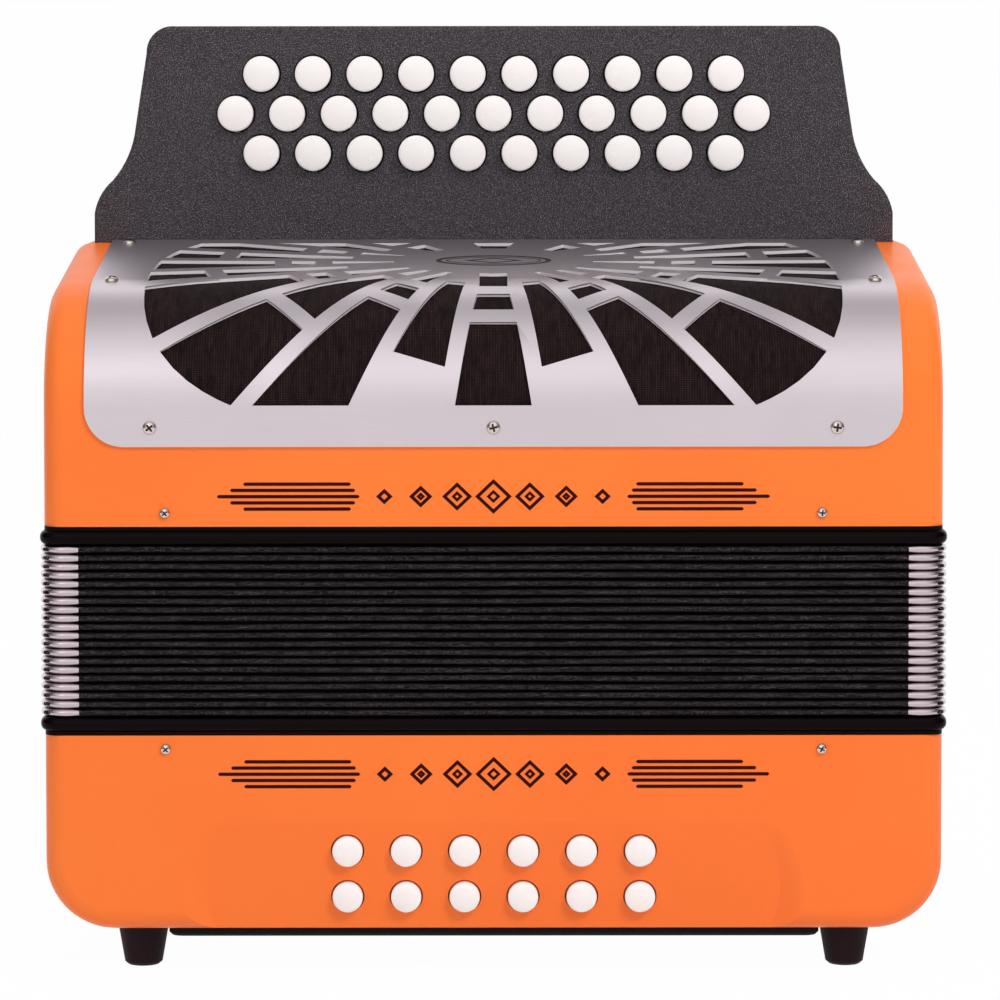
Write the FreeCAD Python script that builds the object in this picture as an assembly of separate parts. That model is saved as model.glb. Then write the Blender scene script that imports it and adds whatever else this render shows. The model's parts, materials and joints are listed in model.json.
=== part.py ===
"""Diatonic button accordion, standing on its bass end.

Millimetres. The origin is on the floor under the middle of the instrument, +Z runs up along the
bellows' travel, +X to the right as seen from the front, and the front faces -Y.
From the floor up: feet, bass case, bellows between its two frames, treble case with its grille,
and the fingerboard that rises behind the grille.
"""
import math
import os

import FreeCAD
import Part

os.makedirs("parts", exist_ok=True)

Vec = FreeCAD.Vector

# Overall body
body_width = 310.0
body_depth = 185.0
front_y = -body_depth / 2
rear_y = body_depth / 2
cut_over = 5.0
fit_gap = 0.3
seat_gap = 0.1
heal_limit = 0.0001

# Feet: four tapered rubber blocks
foot_height = 15.0
foot_top_radius = 9.0
foot_bottom_radius = 6.4
foot_edge_round = 1.0
foot_inset_x = 32.5
foot_inset_y = 20.5
foot_x = body_width / 2 - foot_inset_x
foot_y = rear_y - foot_inset_y

# Bass case: open box with rolled lower corners
bass_case_height = 68.0
bass_case_z = foot_height
bass_case_top = bass_case_z + bass_case_height
bass_corner_radius = 24.0
bass_edge_round = 7.0
bass_side_wall = 6.0
bass_front_wall = 7.0
bass_floor = 6.0
scoop_top_z = 53.0
scoop_depth = 4.5
scoop_half_width = 101.0
scoop_shoulder = 30.0
scoop_soften = 6.0
# How far the scoop's edge is set out, as a share of its softening, at shares of its depth
scoop_edge_shares = [(0.0, 1.0), (0.2, 0.45), (0.8, -0.45), (1.0, -1.0)]
service_inset_x = 50.0
service_inset_y = 34.5
service_half_x = body_width / 2 - service_inset_x
service_half_y = rear_y - service_inset_y

# End plate under the bass case
plate_thickness = 3.0
plate_inset_x = 42.1
plate_inset_y = 6.5
plate_half_x = body_width / 2 - plate_inset_x
plate_half_y = rear_y - plate_inset_y
plate_corner = 5.0
plate_edge_round = 1.0
plate_slot_rows = 2
plate_slot_web = 5.0
plate_slot_width = 4.0
plate_slot_pitch = 12.0
plate_slot_margin_x = 30.9
plate_slot_margin_y = 31.0
plate_slot_x = plate_half_x - plate_slot_margin_x
plate_slot_y = plate_half_y - plate_slot_margin_y
plate_slot_length = plate_slot_x / 2 - plate_slot_web

# Hand strap across the bass end
strap_width = 50.0
strap_thickness = 2.5
strap_hand_gap = 6.0
strap_end_margin = 12.9
strap_half_length = plate_half_x - strap_end_margin
strap_block = 14.0
strap_ramp = 16.0

# Bellows and its two frames
frame_height = 6.4
frame_overhang = 1.4
frame_wall = 12.0
frame_corner = 5.0
frame_bead = 2.2
frame_lip = 1.4
fold_count = 20
fold_pitch = 2.97
fold_depth = 9.0
fold_corner = 9.0
fold_inset = 0.6
bellows_wall = 4.0

# Treble case: front wall, rolled bend, shallow slope, shoulder behind the fingerboard
treble_wall = 6.0
bend_start_height = 40.9
bend_radius = 42.0
slope_angle = 7.6
board_setback = 118.0
rear_round = 26.0
treble_edge_round = 7.0

# Grille: one bent sheet with a sunburst of openings, cut in the flat blank
sheet = 1.2
grille_half_width = 140.5
grille_bottom_height = 27.6
grille_corner = 13.5
grille_rear_gap = 0.4
burst_flat = 14.2
burst_top = 149.5
burst_half_width = 121.5
burst_waist = 68.0
burst_lower = 64.0
burst_upper = 120.0
burst_power = 3.0
burst_steps = 11
burst_upper_steps = 8
smallest_opening = 25.0
hub_centre = 112.0
hub_half_x = 36.0
hub_half_u = 26.0
hub_sides = 20
spoke_width = 5.6
middle_half = 4.9
tie_width = 6.0
burst_reach = 260.0
# Spoke directions in degrees from straight down, on one side
spoke_angles = [9.3, 25.5, 41.5, 56.7, 70.5, 80.7, 91.8, 102.6, 113.5, 127.0, 147.0, 164.5]
# Radii of the ties in each sector, from the middle outwards
sector_ties = [
    [49.0, 64.0],
    [],
    [51.0, 65.5],
    [45.5, 92.5],
    [60.5, 74.2],
    [50.5, 101.0],
    [60.8, 75.3],
    [48.0, 96.0],
    [53.2, 69.5],
    [40.8],
    [45.0],
    [35.0],
    [],
]
# One sector is open between two radii only
short_sector = 1
short_start = 43.0
short_reach = 85.5
window_half_x = 127.0
window_low = 9.0
window_rear_gap = 2.5
cloth_thickness = 0.8

# Fingerboard: a shallow box with a bell-shaped outline
board_height = 79.8
board_half_base = 147.4
board_depth = 28.0
board_plate = 4.0
board_wall = 4.0
board_cover = 3.0
board_edge_round = 1.3
# Outline shares of the half width and the height, from the base up one side:
# base corner, convex arc, concave arc, straight flank, corner arc to the top edge
board_shares = {
    "straight": (1.0, 0.135),
    "convex_mid": (0.9865, 0.212),
    "inflexion": (0.953, 0.290),
    "concave_mid": (0.9160, 0.398),
    "flank_low": (0.8965, 0.530),
    "flank_high": (0.8680, 0.875),
    "corner_mid": (0.8480, 0.967),
    "top": (0.7960, 1.0),
}

# Treble keys: three rows of buttons on bell cranks
treble_pitch = 19.0
treble_row_pitch = 14.6
treble_rows = [10, 11, 10]
treble_top_row = 17.6
treble_cap_radius = 6.5
treble_cap_length = 7.0
treble_hole_gap = 0.7
treble_travel = 4.2
treble_cap_proud = treble_travel
treble_crown = 0.8
treble_crown_width = 1.5
key_plate = 2.0
key_arm = 3.0
key_arm_y = 10.8
key_stem = 2.4
key_jog = treble_pitch / 4
key_span = (max(treble_rows) - 1) / 2 * treble_pitch
axle_radius = 1.5
axle_gap = 0.05
axle_drop = 22.5
axle_inset = 4.0
crank_half = 3.6
crank_foot_y = 12.0
arm_height = 14.0
arm_depth = 4.0
pallet_rows = [99.5, 71.5, 43.5]
pallet_length = 23.0
pallet_width = 14.5
pallet_thickness = 5.0
pallet_gap = 0.3
port_length = 15.0
port_width = 8.0

# Treble reed unit: soundboard, axle with its stands, reed blocks below
soundboard_height = 28.8
soundboard_thickness = 6.0
soundboard_margin = 0.3
stand_thickness = 2.4
stand_length = 9.0
stand_slots = [0, 4, 8]
stand_clearance = 8.0
stand_end = key_span + stand_clearance
lever_slot_margin = 17.0
lever_slot_half = key_span + lever_slot_margin
block_drop = 23.0
block_half_x = 112.0
block_top_width = 25.0
block_bottom_width = 16.0

# Bass keys: two rows of push buttons on guided stems, and the air button
bass_pitch = 20.2
bass_columns = 6
bass_row_drops = [40.2, 56.4]
bass_cap_radius = 5.25
bass_cap_length = 8.0
bass_cap_proud = 3.6
bass_crown = 0.6
bass_crown_width = 1.2
bass_hole_gap = 0.5
bass_travel = 3.0
bass_stem_radius = 1.5
bass_stem_length = 18.0
bass_guide_gap = 0.05
guide_setback = 17.0
guide_thickness = 4.0
guide_margin = 7.0
bass_board_drop = 8.0
bass_board_thickness = 6.0
bass_block_drop = 22.0
bass_block_width = 30.0
bass_block_half_x = 90.0
bass_block_rows = [-5.0, 45.0]
bass_rocker_reach = [61.0, 89.0]
bass_axle_z = 58.0
air_inset_x = 67.0
air_inset_y = 20.5
air_x = body_width / 2 - air_inset_x
air_y = rear_y - air_inset_y
air_cap_radius = 6.5
air_cap_proud = 5.0
air_travel = 4.0
air_cap_length = plate_thickness + air_cap_proud - air_travel - seat_gap
air_stem_radius = 2.0
air_stem_length = 20.0
air_hole_gap = 0.5

# Round-head screws and bellows pins
head_radius = 2.3
pin_head_radius = 1.9
head_height = 1.5
head_edge = 0.7
shank_radius = 1.3
shank_length = 4.5
shank_gap = 0.1
grille_screw_x = 118.0
grille_screw_height = 6.6
slope_screw_x = 133.8
slope_screw_u = [73.0, 150.0]
pin_x = 113.0
pin_edge_gap = 4.7

# Heights that follow from the stack
lower_frame_z = bass_case_top
bellows_z = lower_frame_z + frame_height
bellows_height = fold_count * fold_pitch
upper_frame_z = bellows_z + bellows_height
treble_case_z = upper_frame_z + frame_height
bend_z = treble_case_z + bend_start_height
slope = math.radians(slope_angle)
bend_sweep = math.pi / 2 - slope
board_y = front_y + board_setback
grille_z = treble_case_z + grille_bottom_height


def slope_height(inset, y):
    """Height of the case's slope at y, taken in by inset."""
    start_y = front_y + bend_radius - (bend_radius - inset) * math.sin(slope)
    start_z = bend_z + (bend_radius - inset) * math.cos(slope)
    return start_z + (y - start_y) * math.tan(slope)


board_z = slope_height(0.0, board_y)
board_top = board_z + board_height
board_rear = board_y + board_depth
axle_y = board_y + axle_inset
axle_z = board_z - axle_drop
soundboard_z = treble_case_z + soundboard_height
soundboard_top = soundboard_z + soundboard_thickness
bass_board_z = bass_case_top - bass_board_drop


def box(x0, x1, y0, y1, z0, z1):
    """A box between two corners."""
    return Part.makeBox(x1 - x0, y1 - y0, z1 - z0, Vec(x0, y0, z0))


def polygon_face(points):
    """A flat face from its corner points."""
    return Part.Face(Part.makePolygon(points + points[:1]))


def rounded_rectangle(half_x, half_y, radius, z):
    """A rectangle with round corners, as a wire at height z."""
    turn = math.sqrt(0.5) * radius
    inner_x = half_x - radius
    inner_y = half_y - radius
    corners = [(1, 1), (-1, 1), (-1, -1), (1, -1)]
    edges = []
    last = None
    first = None
    for index, (sx, sy) in enumerate(corners):
        on_x = Vec(sx * half_x, sy * inner_y, z)
        on_y = Vec(sx * inner_x, sy * half_y, z)
        middle = Vec(sx * (inner_x + turn), sy * (inner_y + turn), z)
        start, end = (on_x, on_y) if index % 2 == 0 else (on_y, on_x)
        if last is not None:
            edges.append(Part.makeLine(last, start))
        else:
            first = start
        edges.append(Part.Arc(start, middle, end).toShape())
        last = end
    edges.append(Part.makeLine(last, first))
    return Part.Wire(edges)


def rounded_block(half_x, half_y, radius, z0, z1):
    """An upright block with round corners."""
    return Part.Face(rounded_rectangle(half_x, half_y, radius, z0)).extrude(Vec(0, 0, z1 - z0))


def rod(start, direction, radius, length):
    """A round rod from a point along a direction."""
    return Part.makeCylinder(radius, length, start, direction)


def write(name, shape):
    """Clean a shape and write it as one named piece."""
    solids = [solid.removeSplitter() for solid in shape.Solids]
    for solid in solids:
        if not solid.isValid():
            solid.fix(heal_limit, heal_limit, heal_limit)
    result = solids[0] if len(solids) == 1 else Part.makeCompound(solids)
    result.exportStep("parts/%s.step" % name)
    print(name, len(solids), "solids, volume", round(result.Volume), "valid", result.isValid())
    return result


# Screws

def screw(seat, outward, radius):
    """A round-head screw or pin: low domed head on the surface, shank into the wood."""
    head = Part.makeCylinder(radius, head_height, Vec(0, 0, 0), Vec(0, 0, 1))
    top_edges = [edge for edge in head.Edges if edge.BoundBox.ZMin > head_height / 2]
    head = head.makeChamfer(head_edge, top_edges)
    shank = Part.makeCylinder(shank_radius, shank_length, Vec(0, 0, 0), Vec(0, 0, -1))
    whole = head.fuse(shank)
    turn = FreeCAD.Rotation(Vec(0, 0, 1), outward)
    whole.Placement = FreeCAD.Placement(seat, turn)
    return whole


def screw_hole(seat, outward):
    """The hole that a screw's shank goes through."""
    start = seat + outward * head_height
    length = head_height + shank_length + shank_gap
    return rod(start, outward * -1, shank_radius + shank_gap, length)


def surface_turn(u):
    """How far the treble case's surface has turned back from upright at the place u."""
    along = max(0.0, u - (bend_z - grille_z))
    return min(along / (bend_radius + sheet), bend_sweep)


def surface_normal(u):
    """The outward direction of the treble case's surface at the place u."""
    turn = surface_turn(u)
    return Vec(0, -math.cos(turn), math.sin(turn))


def surface_point(x, u, lift):
    """A point of the treble case's outer surface, by its place u along the unrolled sheet."""
    straight = bend_z - grille_z
    rest = u - straight - (bend_radius + sheet) * surface_turn(u)
    centre = Vec(x, front_y + bend_radius, bend_z)
    on_bend = centre + surface_normal(u) * (bend_radius + lift)
    if rest < 0.0:
        return on_bend + Vec(0, 0, rest)
    return on_bend + Vec(0, rest * math.cos(slope), rest * math.sin(slope))


front_normal = Vec(0, -1, 0)
back_normal = Vec(0, 1, 0)
slope_normal = Vec(0, -math.sin(slope), math.cos(slope))
grille_screw_places = [(x, grille_screw_height) for x in (-grille_screw_x, 0.0, grille_screw_x)]
grille_screw_places += [(side * slope_screw_x, u) for side in (-1, 1) for u in slope_screw_u]
grille_screw_seats = [(surface_point(x, u, sheet), surface_normal(u)) for x, u in grille_screw_places]
treble_pin_seats = [(Vec(side * pin_x, y, treble_case_z + pin_edge_gap), normal)
                    for side in (-1, 1) for y, normal in ((front_y, front_normal), (rear_y, back_normal))]
bass_pin_seats = [(Vec(side * pin_x, y, bass_case_top - pin_edge_gap), normal)
                  for side in (-1, 1) for y, normal in ((front_y, front_normal), (rear_y, back_normal))]


# Feet and bass case

def feet():
    """Four tapered rubber feet under the case's corners."""
    shapes = []
    for sx in (-1, 1):
        for sy in (-1, 1):
            foot = Part.makeCone(foot_bottom_radius, foot_top_radius, foot_height,
                                 Vec(sx * foot_x, sy * foot_y, 0))
            low = [edge for edge in foot.Edges if edge.BoundBox.ZMax < foot_height / 2]
            shapes.append(foot.makeChamfer(foot_edge_round, low))
    return Part.makeCompound(shapes)


def bass_outer():
    """The bass case's outer form: a block with rolled lower corners and rounded side edges."""
    half = body_width / 2
    inner = half - bass_corner_radius
    roll = bass_corner_radius * math.sqrt(0.5)
    low = bass_case_z
    mid_z = low + bass_corner_radius - roll
    right_arc = Part.Arc(Vec(inner, front_y, low), Vec(inner + roll, front_y, mid_z),
                         Vec(half, front_y, low + bass_corner_radius)).toShape()
    left_arc = Part.Arc(Vec(-half, front_y, low + bass_corner_radius), Vec(-inner - roll, front_y, mid_z),
                        Vec(-inner, front_y, low)).toShape()
    edges = [Part.makeLine(Vec(-inner, front_y, low), Vec(inner, front_y, low)), right_arc,
             Part.makeLine(Vec(half, front_y, low + bass_corner_radius), Vec(half, front_y, bass_case_top)),
             Part.makeLine(Vec(half, front_y, bass_case_top), Vec(-half, front_y, bass_case_top)),
             Part.makeLine(Vec(-half, front_y, bass_case_top), Vec(-half, front_y, low + bass_corner_radius)),
             left_arc]
    block = Part.Face(Part.Wire(edges)).extrude(Vec(0, body_depth, 0))
    rims = []
    for edge in block.Edges:
        bounds = edge.BoundBox
        flat_front = abs(bounds.YMax - bounds.YMin) < fit_gap
        if flat_front and bounds.ZMin < bass_case_top - fit_gap:
            rims.append(edge)
    return block.makeFillet(bass_edge_round, rims)


def scoop_outline(y, outset):
    """The arched outline of the hollow round the bass buttons at depth y, set out by outset."""
    half = scoop_half_width + outset
    high = scoop_top_z + outset
    low = bass_case_z - cut_over
    run = scoop_shoulder
    turn = run * math.sqrt(0.5)
    inner = half - run
    knee = high - run
    return Part.Wire([
        Part.makeLine(Vec(half, y, low), Vec(half, y, knee)),
        Part.Arc(Vec(half, y, knee), Vec(inner + turn, y, knee + turn), Vec(inner, y, high)).toShape(),
        Part.makeLine(Vec(inner, y, high), Vec(-inner, y, high)),
        Part.Arc(Vec(-inner, y, high), Vec(-inner - turn, y, knee + turn), Vec(-half, y, knee)).toShape(),
        Part.makeLine(Vec(-half, y, knee), Vec(-half, y, low)),
        Part.makeLine(Vec(-half, y, low), Vec(half, y, low))])


def scoop_tool():
    """The hollow round the bass buttons: a shallow leaning face that runs softly into the front."""
    sections = [scoop_outline(front_y + depth * scoop_depth, outset * scoop_soften)
                for depth, outset in scoop_edge_shares]
    bowl = Part.makeLoft(sections, True, False)
    half = scoop_half_width + scoop_soften
    low = bass_case_z - cut_over
    rear = front_y + scoop_recess(low)
    wedge = polygon_face([Vec(-half, front_y, scoop_top_z), Vec(-half, rear, low), Vec(-half, front_y, low)])
    return bowl.common(wedge.extrude(Vec(2 * half, 0, 0)))


def bass_button_places():
    """Centres of the bass buttons on the front face, row by row."""
    places = []
    for row, drop in enumerate(bass_row_drops):
        for column in range(bass_columns):
            x = (column - (bass_columns - 1) / 2) * bass_pitch
            places.append((row, column, x, bass_case_top - drop))
    return places


def bass_case():
    """Wooden bass case: four walls, a floor with the service opening, button holes and pin holes."""
    shell = bass_outer()
    half = body_width / 2 - bass_side_wall
    corner = bass_corner_radius - bass_side_wall
    cavity = box(-half, half, front_y + bass_front_wall, rear_y - bass_side_wall,
                 bass_case_z + bass_floor, bass_case_top + cut_over)
    low_edges = []
    for edge in cavity.Edges:
        bounds = edge.BoundBox
        if bounds.ZMax < bass_case_z + bass_floor + fit_gap and bounds.YMax - bounds.YMin > half / 2:
            low_edges.append(edge)
    cavity = cavity.makeFillet(corner, low_edges)
    service = rounded_block(service_half_x, service_half_y, plate_corner, bass_case_z - cut_over,
                            bass_case_z + bass_floor + cut_over)
    tools = [cavity, service, scoop_tool()]
    for row, column, x, z in bass_button_places():
        tools.append(rod(Vec(x, front_y - cut_over, z), back_normal, bass_cap_radius + bass_hole_gap,
                         cut_over + bass_front_wall + cut_over))
    tools += [screw_hole(seat, normal) for seat, normal in bass_pin_seats]
    tools.append(rod(Vec(air_x, air_y, bass_case_z - cut_over), Vec(0, 0, 1),
                     air_stem_radius + bass_guide_gap, cut_over + bass_floor + cut_over))
    return shell.cut(tools)


def slot_tool(x, y):
    """One long sound slot through the end plate."""
    tool = rounded_block(plate_slot_length / 2, plate_slot_width / 2, plate_slot_width / 2 - seat_gap,
                         bass_case_z - plate_thickness - cut_over, bass_case_z + cut_over)
    tool.translate(Vec(x, y, 0))
    return tool


def bass_end_plate():
    """Pressed end plate under the bass case, with rows of sound slots in front of and behind the strap."""
    low = bass_case_z - plate_thickness
    plate = rounded_block(plate_half_x, plate_half_y, plate_corner, low, bass_case_z)
    rim = [edge for edge in plate.Edges if edge.BoundBox.ZMax < low + fit_gap]
    plate = plate.makeChamfer(plate_edge_round, rim)
    tools = [rod(Vec(air_x, air_y, low - cut_over), Vec(0, 0, 1), air_cap_radius + air_hole_gap,
                 plate_thickness + cut_over + cut_over)]
    for row in range(plate_slot_rows):
        y = plate_slot_y - row * plate_slot_pitch
        for x in (-plate_slot_x, -plate_slot_x / 2, 0.0, plate_slot_x / 2):
            tools.append(slot_tool(x, -y))
            tools.append(slot_tool(x, y))
    return plate.cut(tools)


def hand_strap():
    """Leather strap across the bass end, bowed away from the plate and screwed down at both ends."""
    top = bass_case_z - plate_thickness
    low = top - strap_hand_gap - strap_thickness
    half = strap_half_length
    ramp = strap_ramp
    end = half - strap_block
    band = polygon_face([
        Vec(-half, -strap_width / 2, top), Vec(-end, -strap_width / 2, top),
        Vec(-end + ramp, -strap_width / 2, low + strap_thickness),
        Vec(end - ramp, -strap_width / 2, low + strap_thickness), Vec(end, -strap_width / 2, top),
        Vec(half, -strap_width / 2, top), Vec(half, -strap_width / 2, top - strap_thickness),
        Vec(end, -strap_width / 2, top - strap_thickness), Vec(end - ramp, -strap_width / 2, low),
        Vec(-end + ramp, -strap_width / 2, low), Vec(-end, -strap_width / 2, top - strap_thickness),
        Vec(-half, -strap_width / 2, top - strap_thickness)])
    return band.extrude(Vec(0, strap_width, 0))


# Bass action: reed unit, buttons and air button

def scoop_recess(z):
    """How far the scooped face lies behind the front at height z."""
    return scoop_depth * max(0.0, scoop_top_z - z) / (scoop_top_z - bass_case_z)


def bass_cap_rear(z):
    """Where the back of a bass button's cap lies at rest."""
    return front_y + scoop_recess(z) - bass_cap_proud + bass_cap_length


def bass_button(x, z):
    """A bass button: round cap on a guided stem."""
    rear = bass_cap_rear(z)
    cap = button_cap(x, rear - bass_cap_length, z, bass_cap_radius, bass_cap_length, bass_crown,
                     bass_crown_width)
    return cap.fuse(rod(Vec(x, rear, z), back_normal, bass_stem_radius, bass_stem_length))


def bass_rocker(row, x, z):
    """A rocker behind a bass button, with its pallet closed under the soundboard."""
    rear = bass_cap_rear(z) + bass_stem_length + bass_travel + fit_gap
    pallet_top = bass_board_z - seat_gap
    pallet_low = pallet_top - pallet_thickness
    reach = front_y + bass_rocker_reach[row]
    arm_x = x - (key_jog if row else 0.0)
    half = key_plate / 2
    arm = polygon_face([
        Vec(arm_x - half, rear, z - key_arm), Vec(arm_x - half, rear + key_arm, z - key_arm),
        Vec(arm_x - half, rear + key_arm, pallet_low - arm_depth),
        Vec(arm_x - half, reach, pallet_low - arm_depth),
        Vec(arm_x - half, reach, pallet_low), Vec(arm_x - half, rear, pallet_low)])
    pallet = box(arm_x - pallet_width / 2, arm_x + pallet_width / 2, reach - pallet_length, reach,
                 pallet_low, pallet_top)
    pieces = [pallet]
    if row:
        pieces.append(box(arm_x - half, x + key_stem / 2, rear, rear + key_arm,
                          z - key_arm / 2, z + key_arm / 2))
    return arm.extrude(Vec(key_plate, 0, 0)).fuse(pieces)


def bass_reed_unit():
    """Bass soundboard with its reed blocks, the button guide, and the rockers on their axle."""
    half_x = body_width / 2 - bass_side_wall - soundboard_margin
    board = box(-half_x, half_x, front_y + bass_front_wall + soundboard_margin,
                rear_y - bass_side_wall - soundboard_margin, bass_board_z,
                bass_board_z + bass_board_thickness)
    guide_x = (bass_columns - 1) / 2 * bass_pitch + guide_margin
    guide_y = front_y + guide_setback
    guide = box(-guide_x, guide_x, guide_y, guide_y + guide_thickness, bass_case_z + bass_floor,
                bass_case_top - bass_row_drops[0] + guide_margin)
    places = bass_button_places()
    guide = guide.cut([rod(Vec(x, guide_y - cut_over, z), back_normal, bass_stem_radius + bass_guide_gap,
                           guide_thickness + 2 * cut_over) for row, column, x, z in places])
    rocker_y = bass_cap_rear(places[0][3]) + bass_stem_length + bass_travel + fit_gap + key_arm / 2
    axle = rod(Vec(-guide_x, rocker_y, bass_axle_z), Vec(1, 0, 0), axle_radius, 2 * guide_x)
    hangers = [box(x - stand_thickness / 2, x + stand_thickness / 2, rocker_y - stand_length / 2,
                   rocker_y + stand_length / 2, bass_axle_z - crank_half, bass_board_z)
               for x in (-guide_x, guide_x)]
    action = axle.fuse(hangers + [bass_rocker(row, x, z) for row, column, x, z in places])
    pieces = [board, guide, action]
    top = bass_board_z + bass_board_thickness
    for y in bass_block_rows:
        half = bass_block_width / 2
        narrow = half * block_bottom_width / block_top_width
        profile = polygon_face([Vec(-bass_block_half_x, y - half, top),
                                Vec(-bass_block_half_x, y + half, top),
                                Vec(-bass_block_half_x, y + narrow, top + bass_block_drop),
                                Vec(-bass_block_half_x, y - narrow, top + bass_block_drop)])
        pieces.append(profile.extrude(Vec(2 * bass_block_half_x, 0, 0)))
    return Part.makeCompound(pieces)


def air_button():
    """Air button at the bass end: cap below the plate, stem through the floor, valve disc inside."""
    low = bass_case_z - plate_thickness - air_cap_proud
    cap = rod(Vec(air_x, air_y, low), Vec(0, 0, 1), air_cap_radius, air_cap_length)
    stem = rod(Vec(air_x, air_y, low), Vec(0, 0, 1), air_stem_radius, air_stem_length)
    disc = rod(Vec(air_x, air_y, bass_case_z + bass_floor + fit_gap), Vec(0, 0, 1), air_cap_radius,
               bass_guide_gap + seat_gap + key_plate)
    return cap.fuse([stem, disc])


# Bellows and frames

def bellows_frame(z, case_side):
    """A bellows frame: a lip against the case and a rounded bead that stands a little proud of it."""
    half_x = body_width / 2
    half_y = body_depth / 2
    lip_low = z if case_side < 0 else z + frame_height - frame_lip
    bead_low = z + frame_lip if case_side < 0 else z
    lip = rounded_block(half_x - seat_gap, half_y - seat_gap, frame_corner, lip_low, lip_low + frame_lip)
    bead = rounded_block(half_x + frame_overhang, half_y + frame_overhang, frame_corner + frame_overhang,
                         bead_low, bead_low + frame_height - frame_lip)
    bead = bead.makeFillet(frame_bead, [edge for edge in bead.Edges
                                        if edge.BoundBox.ZMax - edge.BoundBox.ZMin < fit_gap])
    inner = rounded_block(half_x - frame_wall, half_y - frame_wall, frame_corner, z - cut_over,
                          z + frame_height + cut_over)
    return lip.fuse(bead).cut(inner)


def fold_ring(inset, z):
    """One eight-cornered section of the bellows at height z."""
    half_x = body_width / 2 - inset
    half_y = body_depth / 2 - inset
    cut = fold_corner
    corners = [(half_x, -half_y + cut), (half_x, half_y - cut), (half_x - cut, half_y),
               (-half_x + cut, half_y), (-half_x, half_y - cut), (-half_x, -half_y + cut),
               (-half_x + cut, -half_y), (half_x - cut, -half_y)]
    points = [Vec(x, y, z) for x, y in corners]
    return Part.makePolygon(points + points[:1])


def bellows():
    """Closed bellows: a pleated tube, every fold a ridge and a valley."""
    height = bellows_height - fit_gap
    step = height / fold_count
    sections = [fold_ring(fold_inset + fold_depth, bellows_z)]
    for fold in range(fold_count):
        sections.append(fold_ring(fold_inset, bellows_z + (fold + 0.5) * step))
        sections.append(fold_ring(fold_inset + fold_depth, bellows_z + (fold + 1) * step))
    pleats = Part.makeLoft(sections, True, True)
    hollow_inset = fold_inset + fold_depth + bellows_wall
    hollow = Part.Face(fold_ring(hollow_inset, bellows_z - cut_over)).extrude(
        Vec(0, 0, height + 2 * cut_over))
    return pleats.cut(hollow)


# Treble case

def case_profile(inset, low):
    """The treble case's side profile in the YZ plane, taken in by inset, down to height low."""
    front = front_y + inset
    radius = bend_radius - inset
    centre = Vec(0, front_y + bend_radius, bend_z)
    half_turn = bend_sweep / 2
    bend_mid = centre + Vec(0, -radius * math.cos(half_turn), radius * math.sin(half_turn))
    bend_end = centre + Vec(0, -radius * math.sin(slope), radius * math.cos(slope))
    board_foot = Vec(0, board_y, slope_height(inset, board_y))
    rear_centre = Vec(0, rear_y - rear_round, board_z - rear_round)
    rear_radius = rear_round - inset
    shoulder = rear_centre + Vec(0, 0, rear_radius)
    rear_mid = rear_centre + Vec(0, rear_radius * math.sqrt(0.5), rear_radius * math.sqrt(0.5))
    rear_end = rear_centre + Vec(0, rear_radius, 0)
    bend_start = Vec(0, front, bend_z)
    return Part.Wire([
        Part.makeLine(Vec(0, front, low), bend_start),
        Part.Arc(bend_start, bend_mid, bend_end).toShape(),
        Part.makeLine(bend_end, board_foot),
        Part.makeLine(board_foot, shoulder),
        Part.Arc(shoulder, rear_mid, rear_end).toShape(),
        Part.makeLine(rear_end, Vec(0, rear_end.y, low)),
        Part.makeLine(Vec(0, rear_end.y, low), Vec(0, front, low))])


def case_form(inset, half_width, low):
    """The solid form of the treble case's profile across a half width."""
    face = Part.Face(case_profile(inset, low))
    face.translate(Vec(-half_width, 0, 0))
    return face.extrude(Vec(2 * half_width, 0, 0))


def window_tool(gap):
    """The opening under the grille, smaller all round by gap."""
    half = window_half_x - gap
    return box(-half, half, front_y - cut_over, board_y - window_rear_gap - gap, grille_z + window_low + gap,
               board_z + cut_over)


def treble_case():
    """Wooden treble case: one bent shell, open to the bellows and under the grille."""
    half = body_width / 2
    outer = case_form(0.0, half, treble_case_z)
    rims = []
    for edge in outer.Edges:
        bounds = edge.BoundBox
        on_side = bounds.XMax - bounds.XMin < fit_gap
        if on_side and bounds.ZMax > treble_case_z + fit_gap:
            rims.append(edge)
    outer = outer.makeFillet(treble_edge_round, rims)
    cavity = case_form(treble_wall, half - treble_wall, treble_case_z - cut_over)
    lever_slot = box(-lever_slot_half, lever_slot_half, board_y + board_plate + fit_gap,
                     board_rear - board_cover, board_z - treble_wall * 2, board_z + cut_over)
    tools = [cavity, window_tool(0.0), lever_slot]
    tools += [screw_hole(seat, normal) for seat, normal in treble_pin_seats + grille_screw_seats]
    return outer.cut(tools)


# Grille

def burst_half(u):
    """Half width of the sunburst's oval at the place u along the flat blank."""
    reach = burst_lower if u < burst_waist else burst_upper
    share = min(1.0, abs(u - burst_waist) / reach)
    return burst_half_width * (1.0 - share ** burst_power) ** (1.0 / burst_power)


def burst_field():
    """The oval that holds the openings, cut flat at the bottom and the top of the blank."""
    lower = [burst_flat + (burst_waist - burst_flat) * (1 - math.cos(math.pi / 2 * k / burst_steps))
             for k in range(burst_steps + 1)]
    upper = [burst_waist + (burst_top - burst_waist) * k / burst_upper_steps
             for k in range(1, burst_upper_steps + 1)]
    right = [Vec(burst_half(u), u, 0) for u in lower + upper]
    left = [Vec(-point.x, point.y, 0) for point in reversed(right)]
    return polygon_face(right + left)


def hub_disc():
    """The plain oval land in the middle of the sunburst."""
    turns = [2 * math.pi * k / hub_sides for k in range(hub_sides)]
    return polygon_face([Vec(hub_half_x * math.cos(t), hub_centre + hub_half_u * math.sin(t), 0)
                         for t in turns])


def ray(angle):
    """Direction in the flat blank, by its angle in degrees from straight down."""
    turn = math.radians(angle)
    return Vec(math.sin(turn), -math.cos(turn), 0)


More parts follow.
